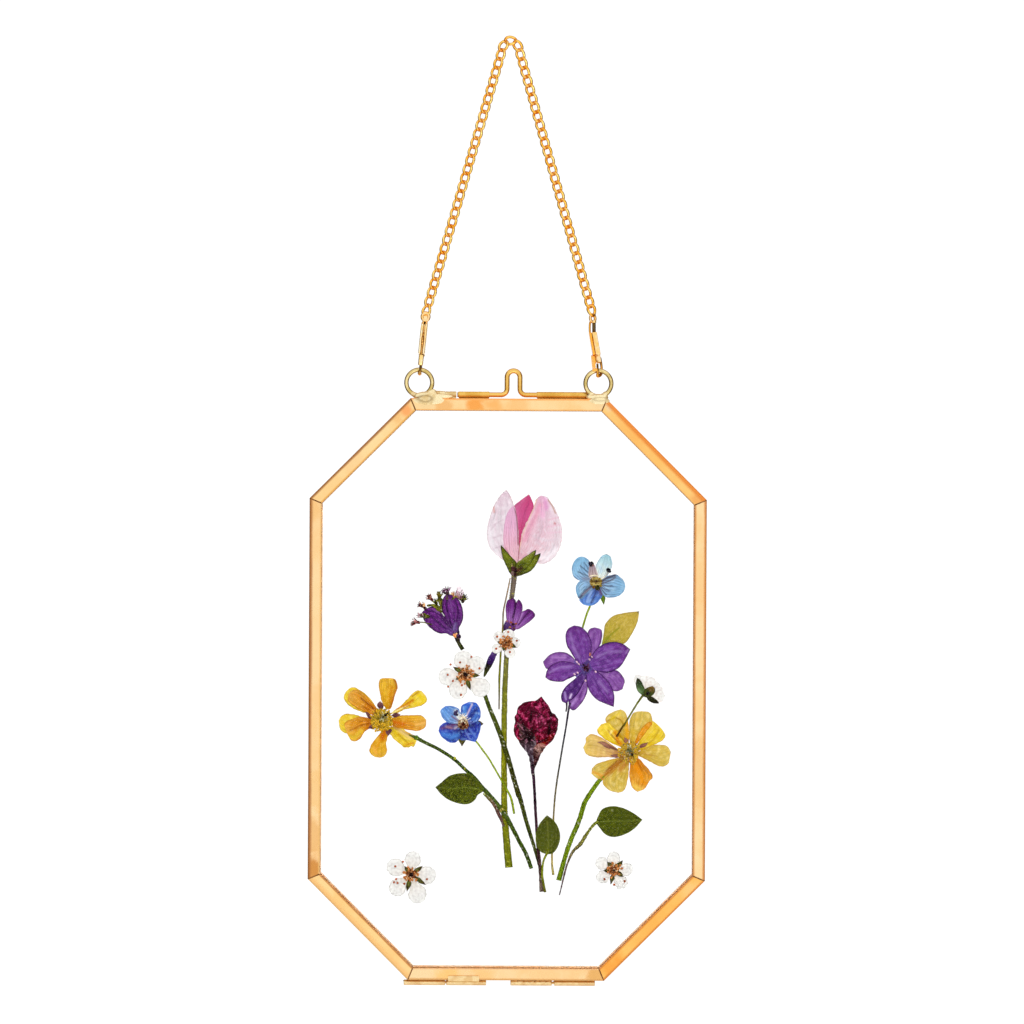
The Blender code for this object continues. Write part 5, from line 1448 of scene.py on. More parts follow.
# the small purple floret
violetFloret = {
    "node": "violet_floret", "skin": "petal", "slot": "petal_violet",
    "looks": {
        "floret": {"along": ((160, 104, 170), (150, 92, 170), (112, 44, 130), (80, 20, 84)),
            "rim": ((56, 12, 60), 0.85), "rimWidth": 0.32, "streak": 0.24, "ragged": 0.05,
            "veins": ((60, 16, 80), 0.8, 4)},
    },
    "pieces": [
        sheet((503.6, 631.4), [(503, 628), (505.4, 622.6), (508.6, 618.6)], (513, 617),
            [(505.4, 631), (509.6, 628), (513.6, 624)], "own", along=((50, 26, 60), (96, 60, 130),
            (140, 100, 166)), rim=((50, 26, 70), 0.7), veins=((50, 24, 70), 0.8, 3)),
        sheet((511, 633.4), [(510, 628), (514, 620), (518, 616)], (521, 618),
            [(514, 631.6), (519, 627), (521.6, 623)], "own", along=((80, 30, 90), (110, 56, 130),
            (150, 100, 170)), rim=((60, 16, 70), 0.7), veins=((50, 14, 70), 0.8, 3)),
        sheet((515, 629.4), [(517, 619), (521.6, 612.6), (525.5, 610.6), (529.1, 609.2)], (533.4, 611.4),
            [(519.2, 629.5), (528.4, 623.4), (533.4, 619.1), (535.8, 615.3)], "floret",
            marks=(([(519, 625), (525, 617), (530, 612)], 1.1, (50, 10, 56), 0.85),
            ([(518.4, 622), (523, 613.6)], 1.2, (176, 126, 190), 0.7), ([(524, 622), (532, 615)], 1.0,
            (130, 76, 160), 0.6))),
        sheet((513.4, 627), [(512.6, 616.7), (514.6, 610.2), (516.2, 603.7)], (519, 599.4),
            [(516.8, 625), (520.2, 618.9), (522, 613.1), (523.2, 608.6), (522, 602.8)], "floret",
            marks=(([(516.4, 604), (515.2, 611), (513.6, 618)], 0.9, (36, 8, 40), 0.95),)),
        sheet((511.6, 627), [(507.2, 620.4), (506.2, 613.1), (506.2, 605.9), (508, 600.8)], (512.2, 598.5),
            [(514, 620), (515.2, 611.5), (516.4, 604.5), (515.6, 599.8)], "floret",
            marks=(([(515.6, 602), (515.2, 610), (513, 618)], 0.8, (36, 8, 40), 0.95),
            ([(509.6, 603), (509, 612)], 0.8, (50, 10, 60), 0.6))),
        bud((511.4, 622.8), 1.4, (150, 70, 40), 0.8), bud((513.6, 624.6), 1.6, (50, 20, 30), 0.8),
        bud((516.4, 624), 1.2, (150, 80, 50), 0.8), bud((507.6, 621.6), 1.0, (180, 110, 110), 0.8),
        bud((510.4, 627.5), 1.3, (196, 120, 80), 0.7), bud((514.4, 628.6), 1.2, (90, 50, 40), 0.8),
    ],
}


def whiteBlossom(heart, size, petals, sepals, anthers, seed, darkHeart=1.0):
    pieces = []
    for place, radius in petals:
        away = np.array(place, float) - np.array(heart)
        length = float(np.linalg.norm(away))
        ahead, aside = away / length, np.array((away[1], -away[0])) / length
        middle, far = np.array(place), np.array(place) + ahead * radius
        rounds = [(0.62, -0.82), (0.98, -0.1), (0.66, 0.72)]
        left = [tuple(middle + aside * radius * a + ahead * radius * b) for a, b in rounds]
        right = [tuple(middle - aside * radius * a + ahead * radius * b) for a, b in rounds]
        crease = middle + ahead * radius * 0.5
        start, end = middle - aside * radius * 0.5, middle + aside * radius * 0.6 + ahead * radius * 0.2
        marks = (
            ([tuple(start), tuple(crease)], 0.5, (196, 192, 184), 0.35),
            ([tuple(crease), tuple(end)], 0.5, (196, 194, 186), 0.3),
        )
        base = tuple(np.array(heart) + ahead * size * 0.4)
        pieces.append(sheet(base, left, tuple(far), right, "white", marks=marks))
    for angle, reach in sepals:
        turn = math.radians(angle)
        ahead = np.array((math.cos(turn), -math.sin(turn)))
        aside = np.array((ahead[1], -ahead[0]))
        tip, middle = np.array(heart) + ahead * reach, np.array(heart) + ahead * reach * 0.55
        left, right = [tuple(middle + aside * 2.3)], [tuple(middle - aside * 2.3)]
        pieces.append(sheet(tuple(heart), left, tuple(tip), right, "sepal"))
    pieces.append(disc(heart, size * 0.66, "nest"))
    pieces += tuft(heart, size * 1.05, 44, ((130, 76, 30), (220, 160, 104)), (196, 124, 66), seed, 0.85)
    pieces += tuft(heart, size * 0.7, 26, ((70, 34, 14), (150, 90, 46)), (110, 56, 26), seed + 1, 0.9)
    pieces += tuft(heart, size * 0.95, 8, ((226, 196, 160), (240, 220, 190)), None, seed + 2)
    pieces.append(bud(heart, size * 0.3 * darkHeart, (36, 18, 14), 0.9))
    pieces += [bud(place, 1.1, antherTone) for place in anthers]
    return pieces


# white blossoms
upperWhite = {
    "node": "upper_white_blossom", "skin": "whitePetal", "slot": "petal_white",
    "pieces": whiteBlossom((506.4, 643), 6.8, (((499.0, 636.8), 5.2), ((509.4, 635.2), 5.8),
        ((515.6, 643), 5.6), ((497.0, 649.2), 5.2), ((510.6, 653), 5.6)), ((175, 9), (-25, 12), (-110, 9)),
        ((497.6, 637), (508.6, 632.2), (517.2, 641.0), (496.6, 649), (510.4, 652.4)), 21, 0.4),
}

middleWhite = {
    "node": "middle_white_blossom", "skin": "whitePetal", "slot": "petal_white",
    "pieces": whiteBlossom((465.6, 675), 8.6, (((463.6, 660.6), 9.6), ((476.4, 665.6), 9.4),
        ((447.6, 677.4), 9), ((458.4, 690.6), 9.4), ((481, 688), 9.8)), ((148, 15), (-4, 15), (-72, 17),
        (208, 11)), ((471.7, 657.2), (460.4, 662.8), (450.8, 665), (479.9, 668.8), (448, 675.4),
        (453.2, 681.4), (462.2, 685.7), (448.4, 687.2), (461.3, 695.5)), 22),
}

leftWhite = {
    "node": "left_white_blossom", "skin": "whitePetal", "slot": "petal_white",
    "pieces": whiteBlossom((411.2, 876), 7.6, (((413, 860.6), 8.2), ((427, 876.6), 9.4),
        ((417.6, 895.6), 9.4), ((397.6, 889), 9), ((395.4, 868.4), 9)), ((128, 11), (37, 15), (-35, 18),
        (-104, 18)), ((403, 863), (395.3, 867.6), (396.2, 880.3), (394.1, 883.6), (397.7, 884.3),
        (404.4, 885), (427, 880.5)), 23, 1.2),
}

rightWhite = {
    "node": "right_white_blossom", "skin": "whitePetal", "slot": "petal_white",
    "pieces": whiteBlossom((614.8, 871.4), 7.4, (((614.8, 859.4), 6.6), ((602.6, 864.6), 6.6),
        ((603.4, 878.4), 6.6), ((621.6, 883.6), 7.2), ((627, 870.6), 6.8)),
        ((128, 11), (47, 13.5), (183, 11), (-103, 15), (-35, 12)), ((605.2, 880.5), (614.8, 886),
        (625.5, 882.5), (623, 869.5)), 24, 0.6),
}

# the half-open white blossom
whiteBud = {
    "node": "white_bud", "skin": "whitePetal", "slot": "petal_white",
    "pieces": [
        stem([(650, 693), (646, 695), (642.6, 697.6), (635, 709), (624.6, 726.6)], [4, 4, 2.2, 1.8, 1.7],
            ((60, 60, 20), (104, 108, 24), (104, 100, 24))),
        *(sheet((648, 694), left, tip, right, "white", shadow=((214, 200, 194), 0.6),
            rim=((196, 176, 168), 0.5)) for left, tip, right in (([(640, 688), (634.6, 682)],
            (636.6, 675.4), [(645, 687), (642.6, 677)]), ([(641, 682), (642, 677)], (649, 676.6),
            [(652, 688), (656, 680)]), ([(646, 684), (650, 679)], (657.4, 681.6), [(656, 692), (661, 686)]),
            ([(652, 688), (658, 684)], (664, 689.4), [(657, 698), (664, 696)]),
            ([(655, 693), (661, 690)], (666, 696), [(656, 701), (662, 703)]))),
        sheet((647, 697), [(652, 697), (657, 700)], (660.4, 704), [(649, 701), (655, 704)], "sepal",
            along=((50, 54, 20), (34, 36, 16), (24, 22, 16))),
        sheet((645.4, 696.4), [(640.4, 694), (637, 688), (637, 682)], (638.2, 678.4),
            [(646.6, 691), (644, 685.6), (641.4, 680.6)], "sepal", along=((40, 46, 16), (70, 96, 50),
            (50, 66, 40), (40, 32, 20)), marks=(([(639, 690), (641, 693)], 1.6, (120, 150, 100), 0.7),)),
        sheet((645, 697.6), [(645, 691), (648.4, 688)], (653.4, 686.6), [(650.4, 698), (655.4, 693.4),
            (655.8, 689)], "sepal", along=((56, 60, 20), (60, 70, 26), (130, 90, 44)),
            rim=((40, 34, 16), 0.8)),
        bud((648.6, 694), 2.0, (34, 26, 24), 1.0, 0, 0.03),
        bud((651.6, 691), 1.3, (120, 90, 50), 1.0, 0, 0.03),
    ],
}

# the mid-blue flower
cornflower = {
    "node": "cornflower_blue_flower", "skin": "petal", "slot": "petal_blue",
    "looks": {
        "pale": {"along": ((226, 220, 200), (110, 144, 196), (94, 142, 210), (76, 126, 206)),
            "rim": ((44, 84, 160), 0.6), "rimWidth": 0.26, "streak": 0.22, "ragged": 0.1,
            "veins": ((36, 54, 130), 0.8, 5), "mottle": ((146, 186, 230), 0.6), "blotSize": 0.9},
        "blue": {"like": "pale", "along": ((130, 120, 150), (60, 84, 170), (50, 92, 196), (56, 104, 212)),
            "veins": ((30, 28, 104), 0.85, 6)},
        "deep": {"like": "pale", "along": ((50, 36, 60), (40, 44, 124), (46, 64, 168), (56, 88, 198)),
            "veins": ((24, 20, 84), 0.85, 5), "mottle": ((104, 146, 214), 0.6)},
    },
    "pieces": [
        stem([(466, 732), (470, 737), (476.7, 742.8), (488.3, 758.3), (498.3, 775), (505, 786.7),
            (511.7, 800), (514.6, 815)], [2, 2, 1.8, 1.8, 1.8, 2.0, 2.4, 2.2], stalks["lime"], thick=0.08),
        sheet((466, 724), [(474, 721), (480, 721.6)], (484, 724.6), [(474, 727), (480, 727.4)], "sepal"),
        sheet((461, 726), [(458.6, 738), (460, 743)], (462.2, 747.6), [(467, 736), (464.8, 743)], "sepal"),
        sheet((462, 725), [(472, 722.4), (480.2, 723.1), (481, 729.2), (478.8, 736.6)], (475.8, 742.9),
            [(459, 734), (460.7, 740.6), (467, 741)], "deep", marks=(([(470, 730), (476, 738)], 1.2,
            (96, 130, 206), 0.6), ([(467, 734), (470, 740)], 0.9, (130, 150, 210), 0.6),
            ([(466, 728), (474, 726)], 1.6, (30, 20, 70), 0.6))),
        sheet((464, 725), [(460, 734), (458.6, 741.3), (451, 743.6), (442.3, 738)], (438.7, 731.7),
            [(459, 722.6), (447.2, 722.7), (440.5, 726.6)], "deep", marks=(([(442, 729), (450, 727),
            (457, 725)], 1.7, (110, 60, 80), 0.7), ([(447, 727.6), (452, 729)], 1.1, (180, 130, 120), 0.6),
            ([(455, 729), (459, 727)], 1.2, (206, 190, 200), 0.6), ([(444, 735), (452, 738), (457, 736)],
            2.6, (74, 134, 210), 0.75), ([(441, 731), (446, 733)], 1.4, (70, 80, 180), 0.5))),
        sheet((463, 725), [(461.6, 718), (461, 712), (462.5, 706)], (469.6, 702.4),
            [(470.4, 724.6), (477.8, 722.2), (481, 717), (480.4, 709.7), (476.8, 703.8)], "blue",
            marks=(([(472.6, 704.6), (468.6, 713), (465, 720)], 0.7, (214, 190, 200), 0.85),
            ([(477, 709), (471.4, 717)], 2.0, (36, 34, 104), 0.8), ([(465.4, 708), (464.6, 716)], 1.6,
            (80, 150, 216), 0.6), ([(477, 716), (474, 720)], 1.5, (70, 120, 200), 0.6))),
        sheet((463.6, 725), [(455, 724.4), (447, 722.8), (441.8, 717), (441, 710.9)], (445.6, 706.8),
            [(463.6, 718), (461, 713.6), (458.2, 708.9), (452, 706.6)], "pale",
            marks=(([(463, 722), (458.6, 717), (456, 712)], 2.0, (240, 238, 226), 0.8),
            ([(462, 723.6), (452, 717)], 0.8, (130, 70, 60), 0.7), ([(444, 712), (449, 718)], 1.6,
            (120, 176, 226), 0.5))),
        disc((463.4, 725.4), 5.6, "own", along=((190, 160, 110), (130, 80, 44), (190, 160, 110)),
            mottle=((216, 190, 140), 0.8), shadow=((70, 24, 16), 0.9), blotSize=0.45, ragged=0.5,
            ragSize=0.5, rim=((120, 100, 60), 0.5)),
        *tuft((463.6, 720), 7, 20, ((220, 196, 160), (246, 240, 220)), None, 31),
        *tuft((462.8, 726.4), 5.4, 22, ((120, 70, 40), (216, 176, 130)), (110, 60, 30), 32, 0.7),
        bud((463.6, 724.6), 1.9, (60, 20, 14), 1.0, 0, 0.04),
        bud((461, 727.6), 1.6, (50, 20, 16), 0.9, 0, 0.04),
        bud((465.4, 727), 1.1, (96, 40, 20), 0.9, 0, 0.04),
        bud((455.6, 714), 2.0, (60, 52, 84), 1.2, 0, 0.05),
        bud((457.4, 711.8), 1.4, (84, 74, 110), 1.0, 0, 0.05),
        bud((457.4, 715.6), 1.2, (40, 30, 50), 1.0, 0, 0.05),
    ],
}

# the orange and yellow flower
leftYellow = {
    "node": "left_yellow_flower", "skin": "petal", "slot": "petal_yellow",
    "pieces": [
        stem([(405, 733), (411, 736.5), (417, 739), (425, 743.3), (440, 750.8), (455, 760.8),
            (466.7, 771.7), (474, 778), (482, 788)], [2, 3, 4.2, 3.4, 3.4, 3.4, 3.4, 3.8, 4.2],
                stalks["deep"],
            specks=0.01),
        stem([(480, 786), (491.7, 798.3), (501.7, 810.8), (508.6, 821), (518.3, 840), (526.4, 855),
            (532, 870)], [4.4, 4.4, 5.0, 4.4, 4.0, 4.0, 4], stalks["deep"], specks=0.03),
        bud((416.4, 738.6), 2.4, (84, 110, 30), 1.1), bud((502, 811), 2.6, (150, 140, 60), 0.9, 30),
        bud((455, 759), 1.2, (190, 190, 60), 1.4, 30), bud((465, 769.6), 1.0, (190, 190, 60), 1.4, 30),
        sheet((376, 721.6), [(362, 717.4), (349, 714.4), (342, 716)], (338.4, 721),
            [(362, 728), (352, 734), (344, 733.6), (339.6, 729)], "limeGold"),
        sheet((378, 711), [(370, 699), (360, 690.6), (351.6, 687.8)], (346, 692),
            [(366, 713.6), (354, 709.6), (346, 703.6), (343.6, 697)], "limeGold"),
        sheet((389, 715), [(401.2, 706), (409.3, 697.6), (416.3, 691.4)], (421.6, 691.6),
            [(397, 713.8), (405.8, 710), (416.3, 708), (425, 704.4), (427, 698.6)], "limeGold",
            marks=(([(397, 710.6), (405, 706), (413, 701)], 1.6, (200, 104, 6), 0.85),
            ([(392, 713.6), (402, 709), (408, 707)], 0.9, (246, 236, 150), 0.8),
            ([(419, 696), (424, 701)], 2.2, (234, 206, 30), 0.7), ([(412, 697), (419, 693)], 0.8,
            (190, 120, 20), 0.7), ([(404, 708.8), (410, 706)], 0.7, (170, 84, 10), 0.8))),
        sheet((388, 729), [(398.8, 726), (406, 731.4), (415.4, 737.4)], (416.6, 742),
            [(391, 737), (398.8, 743.8), (405.8, 748.6), (410.6, 747.4), (414, 747.6)], "limeGold",
            ragged=0.25, marks=(([(394, 728), (405, 733.6), (415, 739)], 1.3, (176, 120, 70), 0.85),
            ([(400, 732), (410, 738.6)], 1.8, (226, 196, 130), 0.6), ([(398, 735), (408, 744)], 0.7,
            (176, 120, 10), 0.7), ([(406, 746), (413, 744)], 1.1, (216, 130, 10), 0.7))),
        sheet((386, 722), [(398, 716.8), (412.8, 715.8), (421.6, 716.2)], (426.4, 720.6),
            [(396, 728.0), (410.5, 731), (419.8, 731.5), (425.6, 727.4)], "orange",
            leftSide=((226, 180, 30), 0.7), marks=(([(392, 722), (404, 725)], 1.6, (206, 90, 6), 0.6),
            ([(417, 726), (424, 724)], 1.8, (238, 190, 100), 0.6))),
        sheet((384, 728), [(380, 734), (376.7, 738), (371, 746), (369.5, 752.6), (374, 757.4)],
            (380, 758.6), [(388.6, 732), (386.2, 743.5), (387, 751.7), (384.6, 757)], "gold",
            marks=(([(384, 731), (382.6, 739)], 2.8, (196, 90, 4), 0.85), ([(380, 741), (377, 748)], 1.5,
            (226, 150, 30), 0.6), ([(374, 748), (376, 754)], 1.6, (240, 170, 70), 0.6))),
        sheet((376, 721), [(361.5, 717.6), (352, 719.6), (344.4, 724)], (345.6, 731),
            [(374, 727), (365.4, 731.8), (359.4, 740.2), (352.2, 742), (348, 736.6)], "orange",
            marks=(([(349, 737), (354, 738.6), (361, 732)], 2.8, (222, 186, 50), 0.8),
            ([(372, 724), (360, 726), (350, 731)], 0.8, (150, 66, 6), 0.7),
            ([(370, 722), (358, 722)], 0.8, (150, 74, 10), 0.5))),
        sheet((379, 712), [(368.5, 699), (359.4, 691.4), (353, 690.6)], (348.4, 694.6),
            [(375.2, 716.6), (363.8, 712.2), (354.5, 707.3), (348, 701.4)], "orange",
            marks=(([(373, 709), (366, 703), (361, 699)], 1.0, (130, 56, 10), 0.85),
            ([(370, 711), (362, 707)], 0.8, (150, 66, 10), 0.7), ([(358, 693), (366, 700)], 0.8,
            (170, 110, 20), 0.5))),
        sheet((386.4, 710.4), [(382.0, 703), (379.4, 691), (379.2, 682), (381.6, 679)], (388.4, 678.6),
            [(391.4, 708.4), (395.4, 694.5), (397.8, 687.6), (396, 681.4), (393.8, 679.2)], "gold",
            marks=(([(395, 681), (397, 687), (393, 700), (390, 708)], 1.2, (160, 70, 20), 0.7),
            ([(392, 688), (391, 702)], 1.6, (200, 120, 20), 0.55), ([(384, 684), (385, 695)], 2.2,
            (236, 186, 50), 0.6))),
        *(sheet(base, [left], tip, [right], "purpleBit") for base, left, tip,
            right in (((382, 713), (377.0, 706), (380, 701.6), (383.6, 706)),
            ((374, 719), (368.0, 713.0), (365, 713.0), (369, 719.6)), ((387, 727), (385.6, 733),
            (388.0, 737.0), (392.0, 731)), ((391, 716), (396, 713.4), (401, 715.6), (395, 718.4)),
            ((375, 724), (370.6, 726), (368, 728.8), (374, 730)))),
        disc((382, 720.4), 10.6, "stamens", 0.95),
        *tuft((381.6, 720.6), 11.6, 90, stalks["straw"], (200, 156, 30), 41, 0.85, 0.4),
        *tuft((379.6, 728), 6, 26, ((120, 86, 20), (216, 170, 30)), (226, 176, 40), 43, 0.8),
        *tuft((384.0, 717.6), 6.6, 36, ((84, 84, 50), (200, 196, 150)), None, 42),
        bud((385.8, 715.4), 1.9, (24, 24, 22), 0.8, 20, 0.05), bud((383, 717.6), 1.0, (50, 46, 30)),
        bud((388, 714), 1.0, (40, 36, 30)),
    ],
}

# the pale yellow flower
rightYellow = {
    "node": "right_yellow_flower", "skin": "petal", "slot": "petal_yellow",
    "pieces": [
        stem([(611, 769), (605, 777), (599.6, 782.4), (588.2, 799), (584, 808), (580.7, 819.7)],
            [3, 4, 4.2, 4.8, 4.8, 4.8], stalks["green"]),
        stem([(581.2, 818), (576.6, 830), (571.2, 842.3), (565.6, 859.3), (559.4, 882)],
            [4.8, 4.8, 4.8, 4.6, 5.2], stalks["green"], specks=0.01),
        sheet((629, 747), [(620, 733.8), (610, 726.4), (606.2, 721), (607.7, 716.8), (614.7, 712.4)],
            (621.4, 710.2), [(630.4, 736), (629.6, 726), (628.9, 719.8), (625.6, 712.6)], "paleGold",
            marks=(([(608, 722), (616, 718), (622, 721), (625, 727)], 0.8, (160, 110, 10), 0.8),
            ([(612, 720), (620, 714)], 1.6, (226, 196, 20), 0.6), ([(628, 722), (628, 738)], 2.6,
            (226, 160, 10), 0.8), ([(624, 727), (616, 738)], 0.8, (150, 100, 10), 0.7))),
        sheet((631, 751), [(630.2, 735), (630.2, 723.3), (633, 715.4), (637, 712.6)], (643, 712),
            [(637, 746.3), (645, 735.4), (652.4, 725.7), (653, 718.7), (650.4, 713.2)], "paleGold",
            marks=(([(634, 730), (635, 742)], 1.6, (216, 176, 50), 0.6),)),
        sheet((634, 753), [(644, 736), (650, 727), (653.4, 721.8)], (660.4, 727),
            [(645, 750.6), (654.3, 746.4), (663.7, 741.2), (666.4, 736.6), (664, 731.4)], "limeGold",
            marks=(([(660, 731), (655, 740), (646, 747)], 0.9, (190, 140, 10), 0.7),
            ([(652, 728), (645, 740)], 2.2, (226, 186, 70), 0.6))),
        sheet((635, 755), [(649.7, 747.6), (661.3, 745.7), (668.5, 747.4)], (672, 753),
            [(643, 758.6), (652, 763.3), (661.3, 767.7), (668.6, 765.6), (670.6, 760.7)], "paleGold",
            marks=(([(643, 754), (656, 757)], 0.7, (176, 120, 50), 0.5),)),
        sheet((624, 754), [(609, 742.6), (600.7, 737.8), (592.5, 735.2), (586.6, 738.6), (587, 742)],
            (584, 748.6), [(618.8, 758), (607.7, 758.2), (596, 758.2), (587.2, 755.2)], "paleGold",
            along=((150, 90, 50), (206, 160, 104), (220, 184, 104), (226, 194, 84))),
        sheet((628, 757), [(612.3, 760.2), (600.7, 763.8), (593.6, 768.4)], (592.1, 774.7),
            [(626, 764.4), (614.7, 772.6), (606.5, 781), (598.3, 779.8)], "paleGold",
            marks=(([(622, 762), (612, 770), (604, 779)], 3.0, (166, 90, 20), 0.85),
            ([(618, 762), (607, 772)], 0.8, (120, 60, 10), 0.7), ([(594, 773), (603, 777)], 1.6,
            (226, 150, 30), 0.7))),
        sheet((630, 758), [(629.8, 770), (628.5, 781.7), (625.2, 791.4)], (619.3, 794),
            [(622, 764), (613.3, 772), (604.6, 779), (604, 785.2), (610, 791.4)], "paleGold",
            marks=(([(628, 763), (621, 771)], 2.4, (190, 116, 50), 0.7), ([(620, 766), (609, 777)], 1.0,
            (176, 104, 30), 0.7))),
        sheet((632, 757), [(630.4, 770), (630.8, 781.7), (634, 789.4)], (638.4, 793),
            [(640, 759.4), (645, 765), (651, 772), (653.8, 778.2), (650, 783), (645.4, 790)], "orange",
            marks=(([(635, 765), (641, 775), (645, 784)], 3.2, (226, 140, 6), 0.8),
            ([(635, 787), (641, 791)], 2.2, (234, 196, 80), 0.8), ([(645, 768), (651, 776)], 1.2,
            (170, 110, 40), 0.7), ([(638, 762), (643, 772)], 0.8, (170, 84, 6), 0.6))),
        sheet((634, 748), [(640, 733), (648, 724)], (653, 722.4), [(638.6, 744), (647, 733), (652.8, 726)],
            "orange", along=((216, 130, 10), (226, 150, 20), (216, 140, 30))),
        sheet((624, 749), [(613.5, 744.6), (605.3, 740), (599.4, 734.6), (598, 730.6)], (602.2, 725),
            [(630, 745), (621.4, 735), (615.3, 728.8), (609.6, 723.5)], "limeGold",
            marks=(([(601, 729), (608, 727)], 1.6, (244, 210, 70), 0.8), ([(616, 733), (619, 742),
            (624, 748)], 2.0, (216, 120, 4), 0.85), ([(609, 731), (614, 738), (620, 745)], 0.8,
            (166, 96, 10), 0.8), ([(612.6, 732), (611.4, 734)], 0.9, (250, 226, 150), 0.9),
            ([(620, 736), (627, 744)], 0.9, (130, 74, 10), 0.8))),
        *(sheet(base, left, tip, right, "mauve") for base, left, tip, right in (((622, 753),
            [(612, 746.4), (604, 742.4)], (598, 743), [(603, 746.6), (612, 750.6)]),
            ((630, 749), [(625.0, 743)], (625.4, 738.0), [(629.4, 741)]), ((638, 750), [(642.4, 745)],
            (649.4, 743), [(645.6, 747.8)]), ((624, 757), [(616, 755.0)], (611, 756.6), [(617, 759.0)]),
            ((634, 757), [(631, 762)], (633.6, 766), [(637.4, 761)]))),
        disc((630, 754), 10.0, "stamens", 0.95, along=((140, 110, 40), (96, 96, 60), (140, 110, 40)),
            mottle=((196, 180, 90), 0.9)),
        *tuft((630.6, 753.4), 11.6, 90, stalks["straw"], (200, 156, 40), 51, 0.85, 0.4),
        *tuft((628.4, 757), 8, 26, ((150, 110, 60), (226, 206, 150)), (170, 110, 40), 53, 0.8),
        *tuft((631.2, 752.0), 7.0, 60, ((84, 84, 56), (190, 190, 150)), None, 52),
        bud((630.8, 752.4), 2.2, (92, 94, 60), 0.9, 0, 0.03), bud((633, 755.4), 1.6, (40, 34, 20)),
        bud((629, 750.6), 1.0, (50, 50, 34)),
        stem([(625.4, 724.6), (622, 730), (617.6, 737.6)], [1.7, 1.8, 2.2],
            ((110, 90, 16), (90, 60, 10), (80, 50, 10)), level=1),
    ],
}

